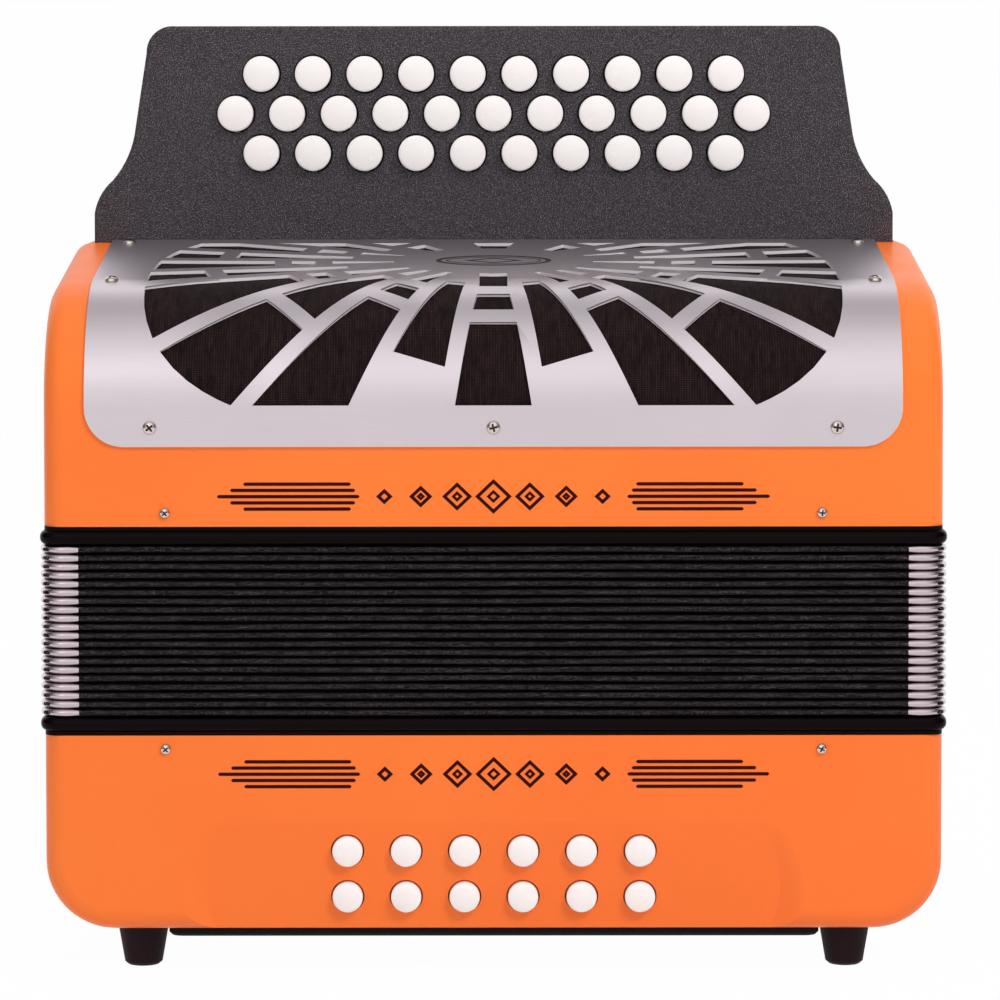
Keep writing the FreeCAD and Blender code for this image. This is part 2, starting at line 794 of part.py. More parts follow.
def sector_face(first, last):
    """The wedge between two spokes, each spoke's half width taken off."""
    middle = (first + last) / 2
    half = math.radians(last - first) / 2
    start = Vec(0, hub_centre, 0) + ray(middle) * (spoke_width / 2 / math.sin(half))
    return polygon_face([start, start + ray(first) * burst_reach, start + ray(middle) * burst_reach * 2,
                         start + ray(last) * burst_reach])


def middle_face(angle):
    """The lowest sector, between two spokes at this angle to it, its sides parallel near the hub."""
    meet = hub_centre - (middle_half + spoke_width / 2 / math.cos(math.radians(angle))) / math.tan(
        math.radians(angle))
    far_left = Vec(0, meet, 0) + Vec(-middle_half, 0, 0) + ray(-angle) * burst_reach
    far_right = Vec(-far_left.x, far_left.y, 0)
    return polygon_face([Vec(-middle_half, hub_centre, 0), Vec(middle_half, hub_centre, 0),
                         Vec(middle_half, meet, 0), far_right, far_left, Vec(-middle_half, meet, 0)])


def band_face(first, last, start, stop):
    """A straight band across a sector between two radii from the middle."""
    middle = ray((first + last) / 2)
    across = Vec(-middle.y, middle.x, 0) * burst_reach
    foot = Vec(0, hub_centre, 0) + middle * start
    head = Vec(0, hub_centre, 0) + middle * stop
    return polygon_face([foot - across, foot + across, head + across, head - across])


def flat_openings():
    """All openings of the flat blank, as faces in its own plane."""
    field = burst_field().cut(hub_disc())
    bounds = [-spoke_angles[0]] + spoke_angles + [360 - spoke_angles[-1]]
    faces = []
    for index, first in enumerate(bounds[:-1]):
        last = bounds[index + 1]
        bands = [band_face(first, last, radius - tie_width / 2, radius + tie_width / 2)
                 for radius in sector_ties[index]]
        if index == short_sector:
            bands.append(band_face(first, last, 0.0, short_start))
            bands.append(band_face(first, last, short_reach, 2 * burst_reach))
        sector = sector_face(first, last) if index else middle_face(last)
        wedge = sector.common(field)
        if bands:
            wedge = wedge.cut(bands)
        on_middle = index in (0, len(bounds) - 2)
        for face in wedge.Faces:
            if face.Area < smallest_opening:
                continue
            faces.append(face)
            if not on_middle:
                faces.append(face.mirror(Vec(0, 0, 0), Vec(1, 0, 0)))
    return faces


def corners_of(face):
    """Corner points of a flat face, in order."""
    return [vertex.Point for vertex in face.OuterWire.OrderedVertexes]


def bend_cutter(points):
    """The tool that cuts one opening through the rolled bend, square to the sheet everywhere."""
    straight = bend_z - grille_z
    skins = []
    for radius in (bend_radius - cut_over, bend_radius + sheet + cut_over):
        roll = Part.Cylinder()
        roll.Radius = radius
        roll.Center = Vec(0, front_y + bend_radius, bend_z)
        roll.Axis = Vec(1, 0, 0)
        places = [FreeCAD.Base.Vector2d(math.pi - (point.y - straight) / (bend_radius + sheet), point.x)
                  for point in points]
        edges = [Part.Geom2d.Line2dSegment(place, places[(index + 1) % len(places)]).toShape(roll)
                 for index, place in enumerate(places)]
        skins.append((edges, Part.Face(roll, Part.Wire(edges))))
    walls = [Part.makeRuledSurface(inner, outer) for inner, outer in zip(skins[0][0], skins[1][0])]
    shell = Part.makeShell([skins[0][1], skins[1][1]] + walls)
    shell.sewShape()
    tool = Part.makeSolid(shell)
    if tool.Volume < 0:
        tool.reverse()
    return tool


def opening_cutters():
    """The openings of the flat blank, folded round the case as cutting tools."""
    straight = bend_z - grille_z
    arc = (bend_radius + sheet) * bend_sweep
    wide = 2 * grille_half_width
    zones = [(0.0, straight), (straight, straight + arc), (straight + arc, burst_top + cut_over)]
    depth = 2 * cut_over + sheet
    tools = []
    for zone, (low, high) in enumerate(zones):
        band = polygon_face([Vec(-wide, low, 0), Vec(wide, low, 0), Vec(wide, high, 0), Vec(-wide, high, 0)])
        for opening in flat_openings():
            for piece in opening.common(band).Faces:
                points = corners_of(piece)
                if zone == 1:
                    tools.append(bend_cutter(points))
                    continue
                outward = front_normal if zone == 0 else slope_normal
                lifted = [surface_point(point.x, point.y, -cut_over) for point in points]
                tools.append(polygon_face(lifted).extrude(outward * depth))
    return tools


def grille():
    """One bent aluminium sheet with a sunburst of openings, lying on the treble case."""
    skin = case_form(-sheet, grille_half_width, grille_z).cut(
        case_form(0.0, grille_half_width + cut_over, grille_z - cut_over))
    half_high = (board_top - grille_z) / 2
    trim = Part.Face(rounded_rectangle(grille_half_width, half_high, grille_corner, 0))
    trim = trim.extrude(Vec(0, 0, board_y - grille_rear_gap - front_y + cut_over))
    trim.rotate(Vec(0, 0, 0), Vec(1, 0, 0), 90)
    trim.translate(Vec(0, board_y - grille_rear_gap, grille_z + half_high))
    blank = skin.common(trim)
    tools = opening_cutters()
    tools += [screw_hole(seat, normal) for seat, normal in grille_screw_seats]
    return blank.cut(tools)


def grille_cloth():
    """Fine black gauze behind the grille, filling the case's window."""
    skin = case_form(seat_gap / 2, window_half_x, grille_z).cut(
        case_form(seat_gap / 2 + cloth_thickness, window_half_x + cut_over, grille_z - cut_over))
    return skin.common(window_tool(fit_gap))


# Fingerboard

def board_outline(y, inset):
    """The fingerboard's bell-shaped outline at depth y, taken in by inset."""
    half = board_half_base - inset
    height = board_height - inset

    def at(name, side):
        """One named point of the outline."""
        wide, high = board_shares[name]
        return Vec(side * half * wide, y, board_z + height * high)

    foot_right = Vec(half, y, board_z)
    foot_left = Vec(-half, y, board_z)
    right = [Part.makeLine(foot_right, at("straight", 1)),
             Part.Arc(at("straight", 1), at("convex_mid", 1), at("inflexion", 1)).toShape(),
             Part.Arc(at("inflexion", 1), at("concave_mid", 1), at("flank_low", 1)).toShape(),
             Part.makeLine(at("flank_low", 1), at("flank_high", 1)),
             Part.Arc(at("flank_high", 1), at("corner_mid", 1), at("top", 1)).toShape()]
    left = [Part.Arc(at("top", -1), at("corner_mid", -1), at("flank_high", -1)).toShape(),
            Part.makeLine(at("flank_high", -1), at("flank_low", -1)),
            Part.Arc(at("flank_low", -1), at("concave_mid", -1), at("inflexion", -1)).toShape(),
            Part.Arc(at("inflexion", -1), at("convex_mid", -1), at("straight", -1)).toShape(),
            Part.makeLine(at("straight", -1), foot_left)]
    top = Part.makeLine(at("top", 1), at("top", -1))
    return Part.Wire(right + [top] + left + [Part.makeLine(foot_left, foot_right)])


def treble_button_places():
    """Row, middle and height of every treble button, the top row first."""
    places = []
    for row, count in enumerate(treble_rows):
        z = board_top - treble_top_row - row * treble_row_pitch
        for index in range(count):
            places.append((row, index, (index - (count - 1) / 2) * treble_pitch, z))
    return places


def fingerboard():
    """Fingerboard: front plate and rim in one, open at the back and at its foot."""
    body = Part.Face(board_outline(board_y + board_edge_round, 0.0)).extrude(
        Vec(0, board_depth - board_edge_round, 0))
    bevel = Part.makeLoft([board_outline(board_y, board_edge_round),
                           board_outline(board_y + board_edge_round, 0.0)], True, True)
    body = body.fuse(bevel)
    hollow = Part.Face(board_outline(board_y + board_plate, board_wall)).extrude(Vec(0, board_depth, 0))
    foot = box(-lever_slot_half, lever_slot_half, board_y + board_plate, board_rear + cut_over,
               board_z - cut_over, board_z + board_wall)
    tools = [hollow, foot]
    for row, index, x, z in treble_button_places():
        tools.append(rod(Vec(x, board_y - cut_over, z), back_normal, treble_cap_radius + treble_hole_gap,
                         2 * cut_over + board_plate))
    return body.cut(tools)


def fingerboard_cover():
    """Back cover of the fingerboard, let into its rim."""
    return Part.Face(board_outline(board_rear - board_cover, board_wall + fit_gap)).extrude(
        Vec(0, board_cover, 0))


# Treble keys and reed unit

def button_cap(x, front, z, radius, length, crown, crown_width):
    """A round button cap along Y with a crowned front."""
    cap = rod(Vec(x, front + crown, z), back_normal, radius, length - crown)
    crown_part = Part.makeCone(radius - crown_width, radius, crown, Vec(x, front, z), back_normal)
    return cap.fuse(crown_part)


def treble_key(row, x, z):
    """A treble key: crowned button, stem, bell crank on the axle, and the pallet over its port."""
    arm_x = x - (key_jog if row == 0 else 0.0)
    arm_y = board_y + key_arm_y
    half = key_arm / 2
    thin = key_plate / 2
    arm_z = soundboard_top + arm_height
    pallet_y = axle_y - pallet_rows[row]
    pallet_low = soundboard_top + pallet_gap
    pallet_top = pallet_low + pallet_thickness
    knee_y = axle_y - crank_foot_y
    lift = board_z + half
    side = [(arm_y + half, lift), (axle_y + crank_half, axle_z - half), (knee_y + half, arm_z),
            (knee_y - half, arm_z), (knee_y - half, arm_z + arm_depth), (axle_y - crank_half, axle_z + half),
            (arm_y - half, lift)]
    crank = polygon_face([Vec(arm_x - thin, side_y, side_z) for side_y, side_z in side])
    crank = crank.extrude(Vec(key_plate, 0, 0))
    crank = crank.cut(rod(Vec(arm_x - key_plate, axle_y, axle_z), Vec(1, 0, 0), axle_radius + axle_gap,
                          2 * key_plate))
    upright = box(arm_x - thin, arm_x + thin, arm_y - half, arm_y + half, lift, z + half)
    arm = box(arm_x - thin, arm_x + thin, pallet_y - half, knee_y - half, arm_z, arm_z + arm_depth)
    post = box(arm_x - thin, arm_x + thin, pallet_y - half, pallet_y + half, pallet_top, arm_z)
    cap_front = board_y - treble_cap_proud
    cap = button_cap(x, cap_front, z, treble_cap_radius, treble_cap_length, treble_crown, treble_crown_width)
    stem = box(x - key_stem / 2, x + key_stem / 2, cap_front + treble_cap_length, arm_y - half,
               z - key_stem / 2, z + key_stem / 2)
    pallet = box(arm_x - pallet_width / 2, arm_x + pallet_width / 2, pallet_y - pallet_length / 2,
                 pallet_y + pallet_length / 2, pallet_low, pallet_top)
    pieces = [cap, stem, upright, crank, arm, post, pallet]
    if arm_x != x:
        pieces.append(box(arm_x + thin, x + key_stem / 2, arm_y - half, arm_y + half,
                          z - key_stem / 2, z + key_stem / 2))
    return Part.makeCompound(pieces)


def treble_reed_unit():
    """Soundboard with a port under every pallet, the key axle on its stands, and the reed blocks."""
    half_x = body_width / 2 - treble_wall - soundboard_margin
    half_y = body_depth / 2 - treble_wall - soundboard_margin
    board = box(-half_x, half_x, -half_y, half_y, soundboard_z, soundboard_top)
    ports = []
    for row, index, x, z in treble_button_places():
        arm_x = x - (key_jog if row == 0 else 0.0)
        port_y = axle_y - pallet_rows[row]
        ports.append(box(arm_x - port_width / 2, arm_x + port_width / 2, port_y - port_length / 2,
                         port_y + port_length / 2, soundboard_z - cut_over, soundboard_top + cut_over))
    board = board.cut(ports)
    first_free = 3 * key_jog - key_span
    stand_places = [-stand_end] + [first_free + slot * treble_pitch for slot in stand_slots] + [stand_end]
    action = rod(Vec(-stand_end - stand_thickness, axle_y, axle_z), Vec(1, 0, 0), axle_radius,
                 2 * (stand_end + stand_thickness))
    stands = [box(x - stand_thickness / 2, x + stand_thickness / 2, axle_y - stand_length / 2,
                  axle_y + stand_length / 2, soundboard_top, axle_z + crank_half) for x in stand_places]
    pieces = [board, action.fuse(stands)]
    for reach in pallet_rows:
        middle = axle_y - reach
        top = block_top_width / 2
        low = block_bottom_width / 2
        profile = polygon_face([Vec(-block_half_x, middle - top, soundboard_z),
                                Vec(-block_half_x, middle + top, soundboard_z),
                                Vec(-block_half_x, middle + low, soundboard_z - block_drop),
                                Vec(-block_half_x, middle - low, soundboard_z - block_drop)])
        pieces.append(profile.extrude(Vec(2 * block_half_x, 0, 0)))
    return Part.makeCompound(pieces)


def write_all():
    """Every piece of the instrument, from the floor up."""
    write("feet", feet())
    write("bass_case", bass_case())
    write("bass_end_plate", bass_end_plate())
    write("hand_strap", hand_strap())
    write("bass_reed_unit", bass_reed_unit())
    for row, column, x, z in bass_button_places():
        write("bass_button_%d_%d" % (row + 1, column + 1), bass_button(x, z))
    write("air_button", air_button())
    write("bass_screws", Part.makeCompound([screw(seat, normal, pin_head_radius)
                                            for seat, normal in bass_pin_seats]))
    write("lower_bellows_frame", bellows_frame(lower_frame_z, -1))
    write("bellows", bellows())
    write("upper_bellows_frame", bellows_frame(upper_frame_z, 1))
    write("treble_case", treble_case())
    write("grille", grille())
    write("grille_cloth", grille_cloth())
    write("fingerboard", fingerboard())
    write("fingerboard_cover", fingerboard_cover())
    write("treble_reed_unit", treble_reed_unit())
    for row, index, x, z in treble_button_places():
        write("treble_key_%d_%02d" % (row + 1, index + 1), treble_key(row, x, z))
    pins = [screw(seat, normal, pin_head_radius) for seat, normal in treble_pin_seats]
    screws = [screw(seat, normal, head_radius) for seat, normal in grille_screw_seats]
    write("treble_screws", Part.makeCompound(pins + screws))


write_all()
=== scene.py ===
"""Finishes, bellows folds, buttons and trim of a three-row diatonic button accordion.

Metres. The frame's own axes: +X to the right seen from the front, the front faces -Y, +Z up.
"""
import json
import math
import random

import bmesh
import bpy
from mathutils import Matrix, Vector

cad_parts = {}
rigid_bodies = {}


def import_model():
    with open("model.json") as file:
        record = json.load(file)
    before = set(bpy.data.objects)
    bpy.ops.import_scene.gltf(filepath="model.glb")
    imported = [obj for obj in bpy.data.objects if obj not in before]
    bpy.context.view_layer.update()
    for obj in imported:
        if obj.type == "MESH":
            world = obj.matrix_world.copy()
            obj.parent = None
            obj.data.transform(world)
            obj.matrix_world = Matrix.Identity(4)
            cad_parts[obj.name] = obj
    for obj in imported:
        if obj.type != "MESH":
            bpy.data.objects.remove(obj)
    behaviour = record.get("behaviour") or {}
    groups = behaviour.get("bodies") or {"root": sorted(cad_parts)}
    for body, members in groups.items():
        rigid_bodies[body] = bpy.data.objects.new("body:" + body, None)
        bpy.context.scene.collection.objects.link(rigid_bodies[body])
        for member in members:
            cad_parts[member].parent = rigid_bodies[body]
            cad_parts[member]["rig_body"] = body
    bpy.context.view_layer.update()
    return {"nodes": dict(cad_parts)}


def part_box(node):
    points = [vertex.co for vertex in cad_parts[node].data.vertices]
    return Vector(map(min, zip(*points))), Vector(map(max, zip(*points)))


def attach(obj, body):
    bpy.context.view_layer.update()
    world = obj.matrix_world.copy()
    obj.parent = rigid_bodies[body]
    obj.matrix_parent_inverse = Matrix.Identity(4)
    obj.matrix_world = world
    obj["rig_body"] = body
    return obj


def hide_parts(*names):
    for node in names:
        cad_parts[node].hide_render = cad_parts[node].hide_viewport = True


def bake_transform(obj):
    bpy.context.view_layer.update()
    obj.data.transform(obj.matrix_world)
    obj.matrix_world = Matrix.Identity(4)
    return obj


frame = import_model()

bl_info = {
    "name": "Diatonic button accordion",
    "version": (1, 0, 0),
    "blender": (4, 5, 0),
    "location": "View3D > Sidebar > Accordion",
    "description": "Dresses the accordion's solids with its bellows, buttons, trim and finishes",
    "category": "Add Mesh",
}

MM = 0.001


def linear(red, green, blue):
    """A colour given in display steps from 0 to 255, as scene values."""
    steps = [value / 255 for value in (red, green, blue)]
    return tuple(v / 12.92 if v <= 0.04045 else ((v + 0.055) / 1.055) ** 2.4 for v in steps)


def colour_property(title, text, display):
    """A colour that the user may change."""
    return bpy.props.FloatVectorProperty(name=title, description=text, default=linear(*display),
                                         subtype="COLOR", size=3, min=0.0, max=1.0)


def length_property(title, text, millimetres):
    """A length that the user may change."""
    return bpy.props.FloatProperty(name=title, description=text, default=millimetres * MM,
                                   subtype="DISTANCE", unit="LENGTH", min=0.0)


class AccordionColours(bpy.types.PropertyGroup):
    """Colours of the accordion's finishes."""
    case: colour_property("Case", "Satin lacquer of both cases", (255, 124, 43))
    case_shade: colour_property("Case shade", "Darker drift in the lacquer", (253, 117, 41))
    inlay: colour_property("Inlay", "Line ornament on the cases", (52, 2, 4))
    mark: colour_property("Grille mark", "Line mark on the grille", (42, 35, 39))
    sheet: colour_property("Grille", "Brushed metal of the grille", (214, 204, 210))
    sheet_shade: colour_property("Grille shade", "Darker brush marks", (210, 200, 206))
    # Painted highlight: the grille's cut edges get this bright colour in place of the light that they catch.
    sheet_edge_highlight: colour_property("Grille edges", "Bright cut edges of the grille", (250, 242, 246))
    board: colour_property("Fingerboard", "Grained covering of the fingerboard", (34, 28, 33))
    board_fleck: colour_property("Grain tips", "Lighter tips of the grain", (134, 125, 132))
    frames: colour_property("Frames", "Lacquer of the bellows frames", (9, 2, 3))
    cloth: colour_property("Bellows cloth", "Cloth of the folds", (6, 3, 4))
    cloth_fleck: colour_property("Cloth flecks", "Lighter threads in the cloth", (146, 134, 139))
    corner_metal: colour_property("Fold corners", "Metal corners of the folds", (196, 182, 186))
    gauze: colour_property("Gauze", "Gauze behind the grille", (14, 8, 9))
    gauze_thread: colour_property("Gauze threads", "Raised threads of the gauze", (66, 44, 44))
    button: colour_property("Buttons", "White of the buttons", (252, 245, 243))
    steel: colour_property("Screws", "Plated steel of the screws", (214, 201, 196))
    # Painted shade: this darker steel stands in for the shade inside the heads' recesses.
    recess: colour_property("Screw recess", "Shaded steel in the heads' recesses", (74, 58, 54))
    rubber: colour_property("Feet", "Rubber of the feet", (30, 12, 16))
    leather: colour_property("Strap", "Leather of the hand strap", (30, 26, 25))
    plate: colour_property("End plate", "Pressed plate at the bass end", (10, 5, 6))
    wood: colour_property("Reed wood", "Spruce of the soundboards and reed blocks", (206, 168, 120))
    wood_dark: colour_property("Reed wood grain", "Darker grain of the reed wood", (170, 126, 80))


class AccordionSizes(bpy.types.PropertyGroup):
    """Sizes of what is added to the solids."""
    fold_depth: length_property("Fold depth", "How far the folds go in", 13.0)
    fold_reach: length_property("Fold reach", "How far the cloth bulges past the plain folds", 1.55)
    fold_corner: length_property("Fold corner", "Round of the folds at the bellows' corners", 8.0)
    corner_reach: length_property("Corner reach", "How far a metal corner runs along each side", 13.2)
    bend_radius: length_property("Bend radius", "Roll of the treble case under the grille", 42.0)
    slope: bpy.props.FloatProperty(name="Slope", description="Rise of the treble case to the fingerboard",
                                   default=math.radians(7.6), subtype="ANGLE")
    treble_dome: length_property("Treble dome", "Crown of the treble buttons", 1.0)
    bass_dome: length_property("Bass dome", "Crown of the bass buttons", 1.1)
    inlay_line: length_property("Inlay line", "Width of the ornament's lines", 1.15)
    inlay_lift: length_property("Inlay lift", "How far the inlay stands above the lacquer", 0.08)
    camera_distance: length_property("Camera distance", "From the case's front to the camera", 1518.1)
    camera_height: length_property("Camera height", "Camera above the floor", 308.0)
    camera_side: length_property("Camera side", "Camera right of the middle", 2.3)


def colours():
    """The colour settings of the scene."""
    return bpy.context.scene.accordion_colours


def sizes():
    """The size settings of the scene."""
    return bpy.context.scene.accordion_sizes


# Modelling helpers

def fresh(name):
    """Name the primitive that was just added and return it."""
    piece = bpy.context.object
    piece.name = name
    piece.data.name = name
    return piece


def clear_selection():
    """Leave edit mode and deselect everything, so that the next operator acts on its own piece alone."""
    if bpy.context.object is not None and bpy.context.object.mode != "OBJECT":
        bpy.ops.object.mode_set(mode="OBJECT")
    bpy.ops.object.select_all(action="DESELECT")


def select_all(action="SELECT"):
    """Select or deselect the whole mesh in edit mode."""
    bpy.ops.mesh.select_all(action=action)


def extrude(move):
    """Extrude the selected edges by a move."""
    bpy.ops.mesh.extrude_edges_move(TRANSFORM_OT_translate={"value": move})


def edit(piece, mode="VERT"):
    """Open a piece in edit mode with nothing selected."""
    clear_selection()
    piece.select_set(True)
    bpy.context.view_layer.objects.active = piece
    bpy.ops.object.mode_set(mode="EDIT")
    bpy.ops.mesh.select_mode(type=mode)
    select_all("DESELECT")


def choose(piece, kind, test):
    """Select the vertices, edges or faces whose place passes a test."""
    work = bmesh.from_edit_mesh(piece.data)
    for item in getattr(work, kind):
        if kind == "verts":
            place = item.co
        elif kind == "edges":
            place = (item.verts[0].co + item.verts[1].co) / 2
        else:
            place = item.calc_center_median()
        item.select_set(bool(test(place)))
    work.select_flush_mode()
    bmesh.update_edit_mesh(piece.data)


def settle(piece, smooth=40.0):
    """Put a finished piece's place into its mesh, point its faces outwards and smooth it."""
    clear_selection()
    piece.select_set(True)
    bpy.context.view_layer.objects.active = piece
    bpy.ops.object.transform_apply(location=True, rotation=True, scale=True)
    bpy.ops.object.mode_set(mode="EDIT")
    select_all()
    bpy.ops.mesh.normals_make_consistent(inside=False)
    bpy.ops.object.mode_set(mode="OBJECT")
    bpy.ops.object.shade_smooth_by_angle(angle=math.radians(smooth))
    clear_selection()
    return piece


def modify(piece, kind, **settings):
    """Add a modifier to a piece and apply it."""
    clear_selection()
    piece.select_set(True)
    bpy.context.view_layer.objects.active = piece
    modifier = piece.modifiers.new(kind.title(), kind)
    for name, value in settings.items():
        setattr(modifier, name, value)
    bpy.ops.object.modifier_apply(modifier=modifier.name)
    clear_selection()


def copy_of(piece, name, matrix):
    """A copy of a piece with its own mesh, moved by a matrix."""
    copy = piece.copy()
    copy.data = piece.data.copy()
    copy.name = name
    copy.data.name = name
    copy.data.transform(matrix)
    bpy.context.scene.collection.objects.link(copy)
    return copy


def join(pieces, name):
    """Join pieces into one."""
    clear_selection()
    for piece in pieces:
        piece.select_set(True)
    bpy.context.view_layer.objects.active = pieces[0]
    bpy.ops.object.join()
    return fresh(name)


def remove(piece):
    """Take a pattern piece away once its copies are made."""
    bpy.data.objects.remove(piece)


def extend(length, grow):
    """Extrude the selected ring along Z and scale it about the Z axis."""
    extrude((0, 0, length))
    bpy.ops.transform.resize(value=(grow[0], grow[1], 1), center_override=(0, 0, 0))


def turned(name, stations, count=48):
    """A round piece about +Z from its (radius, height) stations, closed at both ends."""
    clear_selection()
    radius, height = stations[0]
    bpy.ops.mesh.primitive_circle_add(vertices=count, radius=radius, fill_type="NGON", location=(0, 0, 0))
    piece = fresh(name)
    edit(piece, "EDGE")
    select_all()
    bpy.ops.transform.translate(value=(0, 0, height))
    for new_radius, new_height in stations[1:]:
        grow = new_radius / radius if new_radius else 0.0
        if new_radius:
            extend(new_height - height, (grow, grow))
        else:
            extrude((0, 0, new_height - height))
            bpy.ops.mesh.merge(type="CENTER")
        radius, height = new_radius, new_height
    if radius:
        bpy.ops.mesh.edge_face_add()
    bpy.ops.object.mode_set(mode="OBJECT")
    return piece


def facing(place, direction):
    """A matrix that takes +Z to a direction at a place."""
    return Matrix.Translation(place) @ Vector(direction).to_track_quat("Z", "Y").to_matrix().to_4x4()


def bend_centre():
    """The middle of the treble case's roll, as its depth and height."""
    bend = sizes().bend_radius
    slope = sizes().slope
    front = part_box("treble_case")[0].y
    start = front + bend * (1 - math.sin(slope))
    rise = bend * math.cos(slope) + (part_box("fingerboard")[0].y - start) * math.tan(slope)
    return front + bend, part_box("fingerboard")[0].z - rise


def outward_at(place):
    """The direction that the treble case's surface faces at a place."""
    bend_y, bend_z = bend_centre()
    turn = math.atan2(place.z - bend_z, bend_y - place.y)
    turn = min(max(turn, 0.0), math.pi / 2 - sizes().slope)
    return Vector((0, -math.cos(turn), math.sin(turn)))


# Materials

def material_with(name, colour, roughness, metallic=0.0, coat=0.0, coat_roughness=0.1, specular=0.5):
    """A new material and its shader."""
    material = bpy.data.materials.new(name)
    material.use_nodes = True
    material.diffuse_color = (*colour, 1.0)
    shader = material.node_tree.nodes["Principled BSDF"]
    shader.inputs["Base Color"].default_value = (*colour, 1.0)
    shader.inputs["Roughness"].default_value = roughness
    shader.inputs["Metallic"].default_value = metallic
    shader.inputs["Coat Weight"].default_value = coat
    shader.inputs["Coat Roughness"].default_value = coat_roughness
    shader.inputs["Specular IOR Level"].default_value = specular
    return material, shader


def add_node(material, kind, **settings):
    """Add a node to a material."""
    node = material.node_tree.nodes.new(kind)
    for name, value in settings.items():
        setattr(node, name, value)
    return node


def join_up(material, source, target):
    """Link two sockets."""
    material.node_tree.links.new(source, target)


def place_on(material, stretch=(1.0, 1.0, 1.0)):
    """Object coordinates stretched along the axes."""
    source = add_node(material, "ShaderNodeTexCoord")
    mapping = add_node(material, "ShaderNodeMapping")
    mapping.inputs["Scale"].default_value = stretch
    join_up(material, source.outputs["Object"], mapping.inputs["Vector"])
    return mapping.outputs["Vector"]


def noise(material, place, scale, detail=3.0, roughness=0.55):
    """A noise pattern's value."""
    node = add_node(material, "ShaderNodeTexNoise")
    node.inputs["Scale"].default_value = scale
    node.inputs["Detail"].default_value = detail
    node.inputs["Roughness"].default_value = roughness
    join_up(material, place, node.inputs["Vector"])
    return node.outputs["Fac"]


def cells(material, place, scale):
    """Distance from the middle of scattered cells."""
    node = add_node(material, "ShaderNodeTexVoronoi")
    node.inputs["Scale"].default_value = scale
    join_up(material, place, node.inputs["Vector"])
    return node.outputs["Distance"]


def spread(material, value, low, high, out_low=0.0, out_high=1.0):
    """Map a value's range onto another, held within it."""
    node = add_node(material, "ShaderNodeMapRange")
    node.inputs["From Min"].default_value = low
    node.inputs["From Max"].default_value = high
    node.inputs["To Min"].default_value = out_low
    node.inputs["To Max"].default_value = out_high
    join_up(material, value, node.inputs["Value"])
    return node.outputs["Result"]


def combine(material, operation, first, second):
    """Arithmetic on two values, each a socket or a number."""
    node = add_node(material, "ShaderNodeMath", operation=operation)
    for index, value in enumerate((first, second)):
        if isinstance(value, (int, float)):
            node.inputs[index].default_value = value
        else:
            join_up(material, value, node.inputs[index])
    return node.outputs[0]


def axis_value(material, place, axis):
    """One coordinate of a place."""
    node = add_node(material, "ShaderNodeSeparateXYZ")
    join_up(material, place, node.inputs[0])
    return node.outputs[axis]


def blend_colours(material, share, first, second):
    """A colour between two, by share."""
    node = add_node(material, "ShaderNodeMix", data_type="RGBA")
    for socket, colour in ((node.inputs[6], first), (node.inputs[7], second)):
        if isinstance(colour, bpy.types.NodeSocket):
            join_up(material, colour, socket)
        else:
            socket.default_value = (*colour, 1.0)
    join_up(material, share, node.inputs[0])
    return node.outputs[2]


def relief(material, shader, height, depth, strength=1.0):
    """Raise the surface by a height pattern, up to a depth in metres."""
    node = add_node(material, "ShaderNodeBump")
    node.inputs["Strength"].default_value = strength
    node.inputs["Distance"].default_value = depth
    join_up(material, height, node.inputs["Height"])
    join_up(material, node.outputs["Normal"], shader.inputs["Normal"])


def roughen(material, shader, pattern, low, high):
    """Let a pattern drive the roughness between two values."""
    join_up(material, spread(material, pattern, 0.3, 0.7, low, high), shader.inputs["Roughness"])


def tint(material, shader, share, first, second):
    """Colour a material between two colours, by share."""
    join_up(material, blend_colours(material, share, first, second), shader.inputs["Base Color"])


def lacquer():
    """Satin orange lacquer with a faint drift of tone and a very fine orange-peel."""
    c = colours()
    material, shader = material_with("satin_orange", c.case, 0.42, coat=0.1, coat_roughness=0.3,
                                     specular=0.32)
    place = place_on(material)
    drift = noise(material, place, 7.0, 2.0)
    tint(material, shader, spread(material, drift, 0.35, 0.65), c.case, c.case_shade)
    roughen(material, shader, noise(material, place, 60.0, 4.0), 0.38, 0.46)
    relief(material, shader, noise(material, place, 900.0, 2.0), 0.02 * MM)
    return material


def inlay_paint():
    """Dark maroon line paint."""
    c = colours()
    material, shader = material_with("maroon_line", c.inlay, 0.5, specular=0.1)
    place = place_on(material)
    roughen(material, shader, noise(material, place, 400.0), 0.45, 0.6)
    return material


def mark_paint():
    """Dark grey line print on the grille."""
    c = colours()
    material, shader = material_with("grey_line", c.mark, 0.5)
    place = place_on(material)
    roughen(material, shader, noise(material, place, 400.0), 0.42, 0.58)
    return material


def under_skin(material, place):
    """How deep a place lies under the grille's outer skin, and how far round its roll it lies."""
    bend_y, bend_z = bend_centre()
    ahead = combine(material, "SUBTRACT", bend_y, axis_value(material, place, 1))
    above = combine(material, "SUBTRACT", axis_value(material, place, 2), bend_z)
    most = math.pi / 2 - sizes().slope
    turn = spread(material, combine(material, "ARCTAN2", above, ahead), 0.0, most, 0.0, most)
    level = combine(material, "MULTIPLY", ahead, combine(material, "COSINE", turn, 0.0))
    rise = combine(material, "MULTIPLY", above, combine(material, "SINE", turn, 0.0))
    skin = bend_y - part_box("grille")[0].y
    return combine(material, "SUBTRACT", skin, combine(material, "ADD", level, rise)), turn


